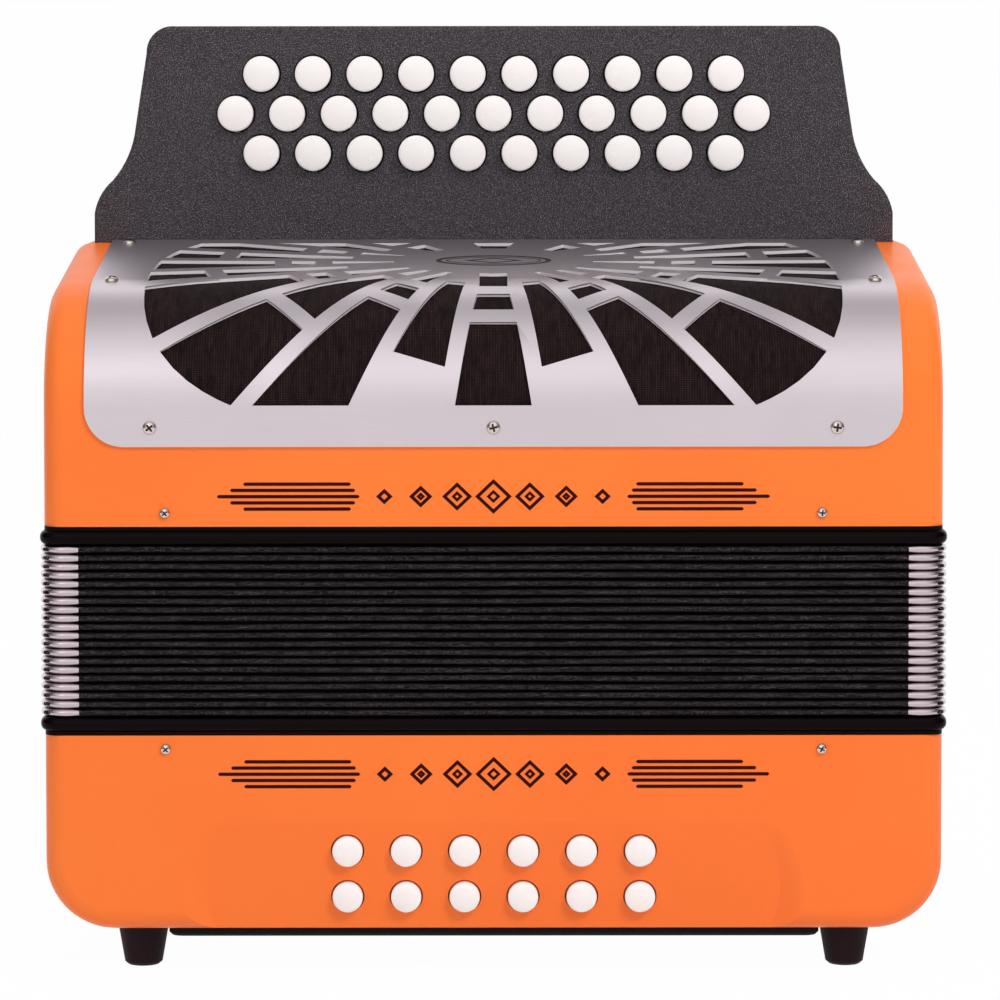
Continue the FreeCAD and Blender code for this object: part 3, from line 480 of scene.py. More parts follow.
def brushed_metal():
    """Satin aluminium with very fine marks along the sheet, and a painted highlight on its cut edges."""
    c = colours()
    smooth = 0.35
    metallic = 0.9
    highlight_metallic = 0.1
    material, shader = material_with("brushed_sheet", c.sheet, smooth, metallic=metallic)
    place = place_on(material)
    marks = noise(material, place_on(material, (0.012, 1.0, 1.0)), 2600.0, 2.0, 0.6)
    cloud = noise(material, place, 26.0, 3.0)
    share = combine(material, "MULTIPLY", marks, cloud)
    tone = blend_colours(material, spread(material, share, 0.15, 0.4), c.sheet_shade, c.sheet)
    depth, turn = under_skin(material, place)
    most = math.pi / 2 - sizes().slope
    near = 0.01
    flat = combine(material, "ADD", combine(material, "LESS_THAN", turn, near),
                   combine(material, "GREATER_THAN", turn, most - near))
    flat_edge_highlight = combine(material, "MULTIPLY", flat, spread(material, depth, 0.05 * MM, 0.08 * MM))
    # Painted highlight on the cut edges, found by depth under the skin. The roll's facets dip under the true
    # roll, so its cut edges start deeper
    roll_edge_highlight = spread(material, depth, 0.56 * MM, 0.6 * MM)
    edge = combine(material, "MAXIMUM", flat_edge_highlight, roll_edge_highlight)
    # Painted highlight: where the edge mask holds, the colour turns to the bright edge colour and the metal
    # share drops.
    join_up(material, blend_colours(material, edge, tone, c.sheet_edge_highlight), shader.inputs["Base Color"])
    join_up(material, spread(material, edge, 0.0, 1.0, metallic, highlight_metallic), shader.inputs["Metallic"])
    roughen(material, shader, marks, smooth - 0.02, smooth + 0.03)
    relief(material, shader, marks, 0.002 * MM)
    return material


def grained_board():
    """Fingerboard covering: fine leather-like grain with lighter tips."""
    c = colours()
    material, shader = material_with("grained_black", c.board, 0.55, specular=0.4)
    place = place_on(material)
    grain = cells(material, place, 1500.0)
    fine = noise(material, place, 2300.0, 3.0, 0.65)
    height = combine(material, "ADD", combine(material, "MULTIPLY", grain, 0.7), fine)
    fleck = spread(material, noise(material, place, 2700.0, 2.0, 0.7), 0.52, 0.68)
    tint(material, shader, fleck, c.board, c.board_fleck)
    roughen(material, shader, fine, 0.5, 0.72)
    relief(material, shader, height, 0.12 * MM, 0.7)
    return material


def gloss_black():
    """Deep black lacquer of the bellows frames, with faint polish marks."""
    c = colours()
    material, shader = material_with("gloss_black", c.frames, 0.16, coat=0.03, coat_roughness=0.05,
                                     specular=0.04)
    place = place_on(material)
    roughen(material, shader, noise(material, place, 180.0, 4.0), 0.12, 0.24)
    relief(material, shader, noise(material, place, 240.0, 2.0), 0.02 * MM)
    return material


def fold_cloth():
    """Black bellows cloth: fine weave along the fold with scattered light threads."""
    c = colours()
    material, shader = material_with("fold_cloth", c.cloth, 0.7, specular=0.05)
    place = place_on(material)
    weave = noise(material, place_on(material, (1.0, 1.0, 1.6)), 1700.0, 2.0, 0.7)
    threads = noise(material, place_on(material, (1.0, 1.0, 1.3)), 4200.0, 1.0, 0.5)
    fleck = spread(material, threads, 0.6, 0.69)
    patch = spread(material, noise(material, place, 120.0, 2.0), 0.25, 0.6, 0.75, 1.0)
    share = combine(material, "MULTIPLY", fleck, patch)
    tint(material, shader, share, c.cloth, c.cloth_fleck)
    roughen(material, shader, weave, 0.6, 0.85)
    relief(material, shader, weave, 0.12 * MM, 0.8)
    return material


def polished(name, colour, roughness):
    """Plated metal with fine wear."""
    material, shader = material_with(name, colour, roughness, metallic=1.0)
    place = place_on(material)
    wear = noise(material, place, 700.0, 4.0)
    roughen(material, shader, wear, roughness - 0.04, roughness + 0.1)
    relief(material, shader, noise(material, place, 500.0, 3.0), 0.01 * MM)
    return material


def gauze_weave():
    """Fine black gauze: crossed threads with a faint warm tone."""
    c = colours()
    material, shader = material_with("gauze_weave", c.gauze, 0.8, specular=0.12)
    place = place_on(material)
    across = axis_value(material, place, 0)
    along = combine(material, "ADD", axis_value(material, place, 1), axis_value(material, place, 2))
    thread_pitch = 0.9 * MM
    turns = 2 * math.pi / thread_pitch
    warp = combine(material, "SINE", combine(material, "MULTIPLY", across, turns), 0.0)
    weft = combine(material, "SINE", combine(material, "MULTIPLY", along, turns), 0.0)
    threads = combine(material, "MAXIMUM", warp, weft)
    patch = noise(material, place_on(material, (4.0, 1.0, 1.0)), 150.0, 3.0, 0.7)
    lit = spread(material, threads, 0.3, 1.0)
    share = combine(material, "MULTIPLY", lit, spread(material, patch, 0.3, 0.8))
    tint(material, shader, share, c.gauze, c.gauze_thread)
    relief(material, shader, threads, 0.1 * MM, 0.6)
    return material


def white_plastic():
    """Polished white buttons with a slight warmth."""
    c = colours()
    material, shader = material_with("white_button", c.button, 0.22, coat=0.4, coat_roughness=0.08)
    shader.inputs["Subsurface Weight"].default_value = 0.08
    shader.inputs["Subsurface Scale"].default_value = 2.0 * MM
    place = place_on(material)
    roughen(material, shader, noise(material, place, 300.0, 3.0), 0.18, 0.28)
    relief(material, shader, noise(material, place, 220.0, 1.0), 0.01 * MM)
    return material


def matt_rubber(name, colour):
    """Moulded rubber or pressed board with a fine matt skin."""
    material, shader = material_with(name, colour, 0.62, specular=0.14)
    place = place_on(material)
    skin = noise(material, place, 1400.0, 3.0, 0.6)
    roughen(material, shader, skin, 0.5, 0.75)
    relief(material, shader, skin, 0.06 * MM, 0.6)
    return material


def strap_leather():
    """Black leather with pebbled grain."""
    c = colours()
    material, shader = material_with("strap_leather", c.leather, 0.55)
    place = place_on(material)
    pebbles = cells(material, place, 650.0)
    fine = noise(material, place, 1800.0, 3.0)
    height = combine(material, "ADD", pebbles, combine(material, "MULTIPLY", fine, 0.4))
    roughen(material, shader, fine, 0.42, 0.68)
    relief(material, shader, height, 0.18 * MM, 0.7)
    return material


def reed_wood():
    """Spruce with grain along X."""
    c = colours()
    material, shader = material_with("reed_spruce", c.wood, 0.55)
    grain = noise(material, place_on(material, (0.05, 1.0, 1.0)), 420.0, 4.0, 0.6)
    tint(material, shader, spread(material, grain, 0.35, 0.65), c.wood, c.wood_dark)
    relief(material, shader, grain, 0.06 * MM, 0.5)
    return material


made_materials = {}


def finish_named(name):
    """One of the accordion's finishes, made once."""
    if name not in made_materials:
        c = colours()
        makers = {
            "lacquer": lacquer,
            "inlay": inlay_paint,
            "mark": mark_paint,
            "sheet": brushed_metal,
            "board": grained_board,
            "frames": gloss_black,
            "cloth": fold_cloth,
            "corner_metal": lambda: polished("fold_corner_metal", c.corner_metal, 0.16),
            "gauze": gauze_weave,
            "button": white_plastic,
            "steel": lambda: polished("screw_steel", c.steel, 0.1),
            # The recess finish is painted shade: darker steel where the recess lies in shade.
            "recess": lambda: polished("screw_recess_painted_shade", c.recess, 0.45),
            "rubber": lambda: matt_rubber("foot_rubber", c.rubber),
            "plate": lambda: matt_rubber("end_plate_black", c.plate),
            "leather": strap_leather,
            "wood": reed_wood,
        }
        made_materials[name] = makers[name]()
    return made_materials[name]


def dress(node, finish):
    """Give a CAD node's slots a finish."""
    piece = frame["nodes"][node]
    for slot in piece.material_slots:
        slot.material = finish_named(finish)
    return piece


def finish_piece(piece, body, slot, finish, *replaced):
    """Dress a new piece, tie it to its body and hide the nodes that it stands for; its slot is not used."""
    piece.data.materials.clear()
    piece.data.materials.append(finish_named(finish))
    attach(piece, body)
    if replaced:
        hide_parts(*replaced)
    return piece


# Operators

class AccordionPiece:
    """What every operator of the accordion shares."""
    bl_options = {"REGISTER", "UNDO"}

    def execute(self, context):
        """Make the pieces."""
        self.make()
        return {"FINISHED"}


class ACCORDION_OT_stage(AccordionPiece, bpy.types.Operator):
    """Pale floor and backdrop, soft lights and the camera"""
    bl_idname = "accordion.stage"
    bl_label = "Stage"

    floor_half: length_property("Floor half width", "From the instrument to the floor's edge", 3000.0)

    def make(self):
        bpy.context.scene.view_settings.view_transform = "Standard"
        clear_selection()
        clear_of_feet = 0.2 * MM
        bpy.ops.mesh.primitive_plane_add(size=2 * self.floor_half, location=(0, 0, -clear_of_feet))
        floor = fresh("floor")
        edit(floor, "EDGE")
        choose(floor, "edges", lambda place: place.y > self.floor_half / 2)
        steps = 6
        rise = self.floor_half / steps
        for step in range(steps):
            bend = math.radians(90 / steps * (step + 0.5))
            move = (0, rise * math.cos(bend), rise * math.sin(bend))
            extrude(move)
        extrude((0, 0, self.floor_half))
        settle(floor)
        floor.data.materials.append(self.paper())
        self.world()
        self.lamp("key_light", (0.85, -1.3, 1.35), size=0.55, power=16.0)
        self.lamp("fill_light", (-1.2, -1.3, 0.8), size=1.6, power=3.5)
        self.lamp("top_light", (0.0, 0.1, 1.7), size=1.6, power=6.0)
        self.camera()

    def paper(self):
        """Pale floor that is white to the camera where no shadow falls."""
        pale = 0.9
        own_white = 0.98
        material, shader = material_with("pale_floor", (pale, pale, pale), 0.9)
        glow = add_node(material, "ShaderNodeEmission")
        glow.inputs["Color"].default_value = (1, 1, 1, 1)
        mix = add_node(material, "ShaderNodeMixShader")
        rays = add_node(material, "ShaderNodeLightPath")
        seen = combine(material, "MAXIMUM", rays.outputs["Is Camera Ray"], rays.outputs["Is Glossy Ray"])
        seen = combine(material, "MAXIMUM", seen, rays.outputs["Is Transmission Ray"])
        join_up(material, combine(material, "MULTIPLY", seen, own_white), mix.inputs[0])
        join_up(material, shader.outputs[0], mix.inputs[1])
        join_up(material, glow.outputs[0], mix.inputs[2])
        join_up(material, mix.outputs[0], material.node_tree.nodes["Material Output"].inputs["Surface"])
        return material

    def world(self):
        """Pale surroundings: white to the camera, even as a light, with one bright field in reflections."""
        as_light = 0.5
        world = bpy.data.worlds.new("pale_surroundings")
        world.use_nodes = True
        bpy.context.scene.world = world
        back = world.node_tree.nodes["Background"]
        back.inputs["Color"].default_value = (1, 1, 1, 1)
        rays = add_node(world, "ShaderNodeLightPath")
        seen = combine(world, "MAXIMUM", rays.outputs["Is Camera Ray"], rays.outputs["Is Transmission Ray"])
        plain = spread(world, seen, 0.0, 1.0, as_light, 1.0)
        mirrored = combine(world, "SUBTRACT", self.reflected(world), as_light)
        extra = combine(world, "MULTIPLY", rays.outputs["Is Glossy Ray"], mirrored)
        join_up(world, combine(world, "ADD", plain, extra), back.inputs["Strength"])

    def reflected(self, world):
        """What polished surfaces mirror: bright high in front, dim above and darker at both sides."""
        place = add_node(world, "ShaderNodeTexCoord").outputs["Generated"]
        height = math.radians(32)
        dim, bright = 0.47, 1.25
        side_share = 0.35
        core_place = (-0.27, -0.83, 0.49)
        core_bright = 1.6
        behind_bright = 1.5
        ahead = self.towards(world, place, (0, -math.cos(height), math.sin(height)))
        field = combine(world, "POWER", spread(world, ahead, 0.35, 1.0), 1.5)
        level = spread(world, field, 0.0, 1.0, dim, bright)
        side = combine(world, "ABSOLUTE", axis_value(world, place, 0), 0.0)
        level = combine(world, "MULTIPLY", level, spread(world, side, 0.45, 0.85, 1.0, side_share))
        core = spread(world, self.towards(world, place, core_place), 0.99, 0.996, 0.0, core_bright)
        behind = spread(world, axis_value(world, place, 1), 0.35, 0.85, 0.0, behind_bright)
        return combine(world, "ADD", combine(world, "ADD", level, behind), core)

    def towards(self, world, place, direction):
        """How far a view points in a direction."""
        node = add_node(world, "ShaderNodeVectorMath", operation="DOT_PRODUCT")
        join_up(world, place, node.inputs[0])
        node.inputs[1].default_value = direction
        return node.outputs["Value"]

    def lamp(self, name, place, size, power):
        """A soft square lamp aimed at the middle of the instrument."""
        middle = Vector((0, 0, 0.17))
        data = bpy.data.lights.new(name, "AREA")
        data.shape = "SQUARE"
        data.size = size
        data.energy = power
        lamp = bpy.data.objects.new(name, data)
        bpy.context.scene.collection.objects.link(lamp)
        lamp.location = place
        aim = middle - Vector(place)
        lamp.rotation_euler = aim.to_track_quat("-Z", "Y").to_euler()
        lamp.visible_glossy = False

    def camera(self):
        """The photograph's view: a long lens in front, tipped down a little and shifted downwards."""
        s = sizes()
        focal_pixels = 4434.0
        picture_pixels = 1000.0
        sensor = 36.0
        tip = math.radians(2.87)
        roll = math.radians(-0.05)
        shift = -0.1963
        data = bpy.data.cameras.new("camera")
        data.sensor_width = sensor
        data.lens = focal_pixels / picture_pixels * sensor
        data.shift_y = shift
        data.clip_start = 0.05
        data.clip_end = 20.0
        camera = bpy.data.objects.new("camera", data)
        bpy.context.scene.collection.objects.link(camera)
        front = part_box("treble_case")[0].y
        camera.location = (s.camera_side, front - s.camera_distance, s.camera_height)
        turn = Matrix.Rotation(math.pi / 2 - tip, 4, "X") @ Matrix.Rotation(roll, 4, "Z")
        camera.rotation_euler = turn.to_euler()
        bpy.context.scene.camera = camera


class ACCORDION_OT_cases(AccordionPiece, bpy.types.Operator):
    """Lacquer, black finishes and rubber on the cases, frames, plate and feet"""
    bl_idname = "accordion.cases"
    bl_label = "Cases and frames"

    def make(self):
        for node, finish in (("treble_case", "lacquer"), ("bass_case", "lacquer"),
                             ("upper_bellows_frame", "frames"), ("lower_bellows_frame", "frames"),
                             ("bass_end_plate", "plate"), ("feet", "rubber"),
                             ("treble_reed_unit", "wood"), ("bass_reed_unit", "wood"),
                             ("fingerboard", "board"), ("fingerboard_cover", "board"),
                             ("grille", "sheet"), ("air_button", "button")):
            dress(node, finish)


class ACCORDION_OT_treble_buttons(AccordionPiece, bpy.types.Operator):
    """White domed fronts of the treble buttons"""
    bl_idname = "accordion.treble_buttons"
    bl_label = "Treble buttons"

    def make(self):
        radius = 6.56 * MM
        skirt = 3.0 * MM
        edge = 0.25 * MM
        apex = 0.6 * MM
        cap_radius = 6.5 * MM
        dome = sizes().treble_dome
        stations = [(radius, 0.0), (radius, skirt - edge)]
        for share in (0.97, 0.9, 0.78, 0.62, 0.44, 0.25, 0.1):
            stations.append((radius * share, skirt + dome * (1 - share * share) ** 0.8))
        stations.append((0.0, skirt + dome))
        pattern = turned("button_pattern", stations)
        settle(pattern, 50)
        for name in sorted(frame["nodes"]):
            if name.startswith("treble_key_"):
                dress(name, "button")
                body = frame["nodes"][name]["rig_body"]
                middle_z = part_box(name)[1].z - cap_radius
                middle_x = self.cap_middle(name)
                front = self.cap_front(name)
                place = Vector((middle_x, front - apex + skirt + dome, middle_z))
                piece = copy_of(pattern, name.replace("key", "button"), facing(place, (0, -1, 0)))
                finish_piece(piece, body, "button_white", "button")
        remove(pattern)

    def cap_points(self, name):
        """The points of a key's cap: those in front of the fingerboard."""
        cap_height = 14 * MM
        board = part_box("fingerboard")[0].y
        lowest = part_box(name)[1].z - cap_height
        points = [vertex.co for vertex in frame["nodes"][name].data.vertices]
        return [point for point in points if point.y < board and point.z > lowest]

    def cap_middle(self, name):
        """The middle of a key's cap across the board."""
        across = [point.x for point in self.cap_points(name)]
        return (min(across) + max(across)) / 2

    def cap_front(self, name):
        """Where a key's cap ends in front."""
        return min(point.y for point in self.cap_points(name))


class ACCORDION_OT_bass_buttons(AccordionPiece, bpy.types.Operator):
    """White domed bass buttons with their stems"""
    bl_idname = "accordion.bass_buttons"
    bl_label = "Bass buttons"

    def make(self):
        dome = sizes().bass_dome
        edge = 0.3 * MM
        cap = 8.0 * MM
        stem = 1.5 * MM
        for name in sorted(frame["nodes"]):
            if not name.startswith("bass_button_"):
                continue
            low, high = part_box(name)
            radius = (high.x - low.x) / 2
            length = high.y - low.y
            stations = [(stem, 0.0), (stem, length - cap), (radius, length - cap),
                        (radius, length - dome - edge)]
            for share in (0.975, 0.92, 0.82, 0.68, 0.5, 0.3, 0.12):
                stations.append((radius * share, length - dome * (1 - (1 - share * share) ** 0.75)))
            stations.append((0.0, length))
            piece = turned(name + "_domed", stations)
            piece.matrix_world = facing(((low.x + high.x) / 2, high.y, (low.z + high.z) / 2), (0, -1, 0))
            settle(piece, 50)
            finish_piece(piece, frame["nodes"][name]["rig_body"], "button_white", "button", name)


class ACCORDION_OT_bellows(AccordionPiece, bpy.types.Operator):
    """Bellows: cloth folds, their rims and the metal corners"""
    bl_idname = "accordion.bellows"
    bl_label = "Bellows"

    folds: bpy.props.IntProperty(name="Folds", description="Number of folds", default=20, min=4)

    def make(self):
        low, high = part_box("bellows")
        reach = sizes().fold_reach
        top_gap = 0.3 * MM
        self.half = Vector((high.x + reach, high.y + reach, 0.0))
        self.base = low.z
        self.pitch = (high.z + top_gap - low.z) / self.folds
        wall = self.fold_wall()
        rim = self.fold_rim()
        corners = self.fold_corners()
        kinds = ((wall, "bellows_fold_", "cloth", "bellows_cloth", False),
                 (rim, "bellows_rim_", "cloth", "bellows_cloth", True),
                 (corners, "bellows_corners_", "corner_metal", None, True))
        draw = random.Random(7)
        for index in range(self.folds):
            lift = Matrix.Translation((0, 0, self.base + self.pitch * (index + 0.5)))
            number = "%02d" % (index + 1)
            waves = [self.drawn_wave(draw) for _ in range(3)]
            for source, name, finish, slot, rigid in kinds:
                piece = copy_of(source, name + number, lift)
                if source is rim:
                    self.wander(piece, waves)
                piece.data.materials.clear()
                piece.data.materials.append(finish_named(finish))
                self.follow(piece, index, rigid)
                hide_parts("bellows")
        for source in (wall, rim, corners):
            remove(source)

    def outline(self, inset):
        """The bellows' outline as a ring of edges, its sides cut into short runs."""
        shortest_side = 50 * MM
        cuts = 29
        clear_selection()
        bpy.ops.mesh.primitive_plane_add(size=2, location=(0, 0, 0))
        ring = fresh("outline")
        edit(ring)
        select_all()
        bpy.ops.transform.resize(value=(self.half.x - inset, self.half.y - inset, 1))
        bpy.ops.mesh.bevel(offset=sizes().fold_corner - inset / 2, segments=6, affect="VERTICES")
        select_all()
        bpy.ops.mesh.delete(type="ONLY_FACE")
        bpy.ops.mesh.select_mode(type="EDGE")
        work = bmesh.from_edit_mesh(ring.data)
        for item in work.edges:
            item.select_set(item.calc_length() > shortest_side)
        bmesh.update_edit_mesh(ring.data)
        bpy.ops.mesh.subdivide(number_cuts=cuts)
        select_all()
        return ring

    def ring(self, name, stations, closed):
        """A band round the bellows from its (inset, height) stations."""
        inset, height = stations[0]
        piece = self.outline(inset)
        piece.name = name
        bpy.ops.transform.translate(value=(0, 0, height))
        for new_inset, new_height in stations[1:]:
            grow = [(half - new_inset) / (half - inset) for half in (self.half.x, self.half.y)]
            extend(new_height - height, grow)
            inset, height = new_inset, new_height
        if closed:
            select_all("DESELECT")
            bpy.ops.mesh.select_non_manifold()
            bpy.ops.mesh.bridge_edge_loops()
        bpy.ops.object.mode_set(mode="OBJECT")
        return piece

    def fold_wall(self):
        """The cloth from valley to rim to valley, a thin closed skin."""
        deep = sizes().fold_depth
        thick = 0.5 * MM
        inner_rim = 2.6 * MM
        half_pitch = self.pitch / 2
        outer = [(1.6 * MM, 0.62 * MM), (0.9 * MM, 0.3 * MM)]
        outer += [(inset, -height) for inset, height in reversed(outer)]
        stations = [(deep + thick, half_pitch), (deep, half_pitch)] + outer
        stations += [(deep, -half_pitch), (deep + thick, -half_pitch), (inner_rim, 0.0)]
        return settle(self.ring("wall_pattern", stations, True), 60)

    def fold_rim(self):
        """The rounded cloth binding on a fold's outer edge."""
        half_round = [(0.0, 0.0), (0.07, 0.36), (0.3, 0.68), (0.68, 0.88), (1.2, 0.92), (2.4, 0.8)]
        stations = [(inset * MM, -height * MM) for inset, height in reversed(half_round)]
        stations += [(inset * MM, height * MM) for inset, height in half_round[1:]]
        return settle(self.ring("rim_pattern", stations, True), 60)

    def fold_corners(self):
        """The four pressed metal corners of a fold."""
        bead = 1.12 * MM
        inset = 0.95 * MM
        sheet = 0.25 * MM
        turns = [math.radians(angle) for angle in range(-84, 85, 21)]
        stations = [(inset - bead * math.cos(turn), bead * math.sin(turn)) for turn in turns]
        piece = self.ring("corner_pattern", stations, False)
        reach = sizes().corner_reach
        edit(piece, "FACE")
        straight = reach - sizes().fold_corner
        for share in (1.0, 0.85, 0.7, 0.5, 0.3):
            for side in (-1, 1):
                for axis in (0, 1):
                    spot = [0.0, 0.0, 0.0]
                    spot[axis] = side * (self.half[axis] - sizes().fold_corner - share * straight)
                    normal = [0.0, 0.0, 0.0]
                    normal[axis] = 1.0
                    select_all()
                    bpy.ops.mesh.bisect(plane_co=spot, plane_no=normal)
        select_all("DESELECT")
        end = [self.half[axis] - reach for axis in (0, 1)]
        choose(piece, "faces", lambda place: abs(place.x) < end[0] or abs(place.y) < end[1])
        bpy.ops.mesh.delete(type="FACE")
        bpy.ops.object.mode_set(mode="OBJECT")
        self.taper(piece, straight)
        modify(piece, "SOLIDIFY", thickness=sheet, offset=-1.0)
        return settle(piece, 60)

    def taper(self, piece, straight):
        """Draw a metal corner's bead in towards its ends, as pressed corners are."""
        slimmer = 0.22
        sink = 0.3 * MM
        for vertex in piece.data.vertices:
            left = [self.half[axis] - sizes().fold_corner - abs(vertex.co[axis]) for axis in (0, 1)]
            share = max(0.0, max(left) / straight)
            vertex.co.z *= 1 - slimmer * share * share
            inward = 0 if left[1] > left[0] else 1
            vertex.co[inward] -= math.copysign(sink * share * share, vertex.co[inward])

    def drawn_wave(self, draw):
        """A small wave at random: its height, its radians in a metre and where it starts."""
        height = draw.uniform(0.02, 0.11) * MM
        speed = draw.uniform(20, 75)
        return height, speed, draw.uniform(0, 6.28)

    def wander(self, piece, waves):
        """Let a cloth rim wander a little in height, as sewn folds do."""
        for vertex in piece.data.vertices:
            x, y = vertex.co.x, vertex.co.y
            run = x if abs(y) > abs(x) * self.half.y / self.half.x else y
            fade = 1 - (abs(x) / self.half.x) ** 6
            for height, speed, start in waves:
                vertex.co.z += height * fade * math.sin(speed * run + start)

    def follow(self, piece, index, rigid):
        """Put a fold's piece's place into its mesh."""
        clear_selection()
        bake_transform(piece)

    def smooth_at_middle(self, index):
        """The share of the slide that a fold's outer edge follows."""
        t = (self.smooth_inverse(index / self.folds) + self.smooth_inverse((index + 1) / self.folds)) / 2
        return t * t * (3 - 2 * t)

    def smooth_inverse(self, share):
        """The t whose smooth step 3t^2 - 2t^3 equals a share."""
        return 0.5 - math.sin(math.asin(1 - 2 * share) / 3)


class ACCORDION_OT_screws(AccordionPiece, bpy.types.Operator):
    """Cross-slot grille screws and bellows pins"""
    bl_idname = "accordion.screws"
    bl_label = "Screws and pins"

    head_height: length_property("Head height", "How far a head stands out", 1.5)
    recess_floor: length_property("Recess floor", "Height of the recess's floor over the sheet", 0.5)

    def make(self):
        screw = self.screw_pattern()
        pin = self.pin_pattern()
        first_turn, next_turn = 40, 67
        recess = {pattern.name: self.recess_faces(pattern) for pattern in (screw, pin)}
        sheet_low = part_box("grille")[0].z
        for node, body in (("treble_screws", "treble"), ("bass_screws", "bass")):
            for number, points in enumerate(self.islands(node)):
                middle = sum(points, Vector()) / len(points)
                if middle.z > sheet_low:
                    normal, source, name = outward_at(middle), screw, "grille_screw_"
                else:
                    normal, source = Vector((0, math.copysign(1, middle.y), 0)), pin
                    name = node.split("_")[0] + "_pin_"
                top = max(point.dot(normal) for point in points)
                head = [point for point in points if point.dot(normal) > top - self.head_height / 2]
                centre = sum(head, Vector()) / len(head)
                seat = centre + normal * (top - self.head_height - centre.dot(normal))
                spin = Matrix.Rotation(math.radians(first_turn + next_turn * number), 4, "Z")
                piece = copy_of(source, name + str(number + 1), facing(seat, normal) @ spin)
                finish_piece(piece, body, "screw_steel", "steel", node)
                # Painted shade in the heads' recesses: their floor and walls get the darker recess finish.
                piece.data.materials.append(finish_named("recess"))
                for index in recess[source.name]:
                    piece.data.polygons[index].material_index = 1
        remove(screw)
        remove(pin)

    def islands(self, node):
        """The separate solids of a node, as lists of points."""
        mesh = bmesh.new()
        mesh.from_mesh(frame["nodes"][node].data)
        bmesh.ops.remove_doubles(mesh, verts=mesh.verts, dist=1e-6)
        left = set(mesh.verts)
        found = []
        while left:
            todo = [min(left, key=lambda v: v.index)]
            left.discard(todo[0])
            points = []
            while todo:
                vertex = todo.pop()
                points.append(vertex.co.copy())
                for edge in vertex.link_edges:
                    other = edge.other_vert(vertex)
                    if other in left:
                        left.discard(other)
                        todo.append(other)
            found.append(points)
        mesh.free()
        return sorted(found, key=lambda points: (round(points[0].z, 2), points[0].x, points[0].y))

    def screw_pattern(self):
        """A low round head with a cross recess, on its shank."""
        stations = [(1.25, -4.0), (1.25, 0.0), (2.36, 0.02), (2.38, 0.3), (2.25, 0.68), (1.95, 1.0),
                    (1.5, 1.25), (0.95, 1.42), (0.4, 1.49), (0.0, 1.5)]
        head = turned("screw_pattern", [(radius * MM, height * MM) for radius, height in stations], count=40)
        return self.cut_cross(head, 2.9 * MM)

    def pin_pattern(self):
        """A small round head with a cross recess, on its shank."""
        stations = [(1.0, -4.0), (1.0, 0.0), (1.75, 0.02), (1.86, 0.3), (1.82, 0.65), (1.6, 1.0),
                    (1.2, 1.28), (0.7, 1.44), (0.3, 1.49), (0.0, 1.5)]
        head = turned("pin_pattern", [(radius * MM, height * MM) for radius, height in stations], count=32)
        return self.cut_cross(head, 2.2 * MM)

    def cut_cross(self, head, reach):
        """Cut a cross recess into a head, its two slots a quarter as wide as they are long."""
        settle(head, 35)
        width = reach / 4
        for size in ((reach, width), (width, reach)):
            clear_selection()
            middle = self.recess_floor + self.head_height / 2
            bpy.ops.mesh.primitive_cube_add(size=1, location=(0, 0, middle), scale=(*size, self.head_height))
            cutter = settle(fresh("slot_cutter"))
            modify(head, "BOOLEAN", operation="DIFFERENCE", object=cutter, solver="EXACT")
            remove(cutter)
        return settle(head, 35)

    def recess_faces(self, head):
        """The faces of a head's recess: its floor and its upright walls."""
        upright = 0.2
        found = []
        for face in head.data.polygons:
            height = face.center.z / self.recess_floor
            inside = face.center.xy.length < self.head_height and height > 0.9
            if inside and (height < 1.1 or abs(face.normal.z) < upright):
                found.append(face.index)
        return found


class ACCORDION_OT_gauze(AccordionPiece, bpy.types.Operator):
    """Gauze behind the grille, stretched over the window"""
    bl_idname = "accordion.gauze"
    bl_label = "Gauze"

    def make(self):
        low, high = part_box("grille_cloth")
        bend = sizes().bend_radius
        slope = sizes().slope
        below = 0.35 * MM
        margin = 0.2 * MM
        rear_gap = 0.4 * MM
        thick = 0.25 * MM
        bend_y, bend_z = bend_centre()
        front = bend_y - bend + below
        half = (high.x - low.x) / 2 - margin
        half_plane = 0.5
        clear_selection()
        bpy.ops.mesh.primitive_plane_add(size=2 * half_plane, location=(0, 0, 0))
        piece = fresh("gauze")
        edit(piece)
        choose(piece, "verts", lambda place: place.y > 0)
        bpy.ops.mesh.delete(type="VERT")
        select_all()
        bpy.ops.transform.resize(value=(2 * half, 1, 1), center_override=(0, 0, 0))
        bpy.ops.transform.translate(value=(0, front + half_plane, low.z + margin))
        upright = bend_z - low.z - margin
        extrude((0, 0, upright))
        bpy.ops.mesh.spin(steps=20, angle=math.pi / 2 - slope, center=(0, bend_y, bend_z), axis=(1, 0, 0))
        reach = high.y - rear_gap - (bend_y - (bend - below) * math.sin(slope))
        rise = reach * math.tan(slope)
        extrude((0, reach, rise))
        select_all()
        bpy.ops.mesh.remove_doubles(threshold=1e-6)
        bpy.ops.object.mode_set(mode="OBJECT")
        modify(piece, "SOLIDIFY", thickness=thick, offset=0.0)
        settle(piece, 30)
        finish_piece(piece, "treble", "black_gauze", "gauze", "grille_cloth")


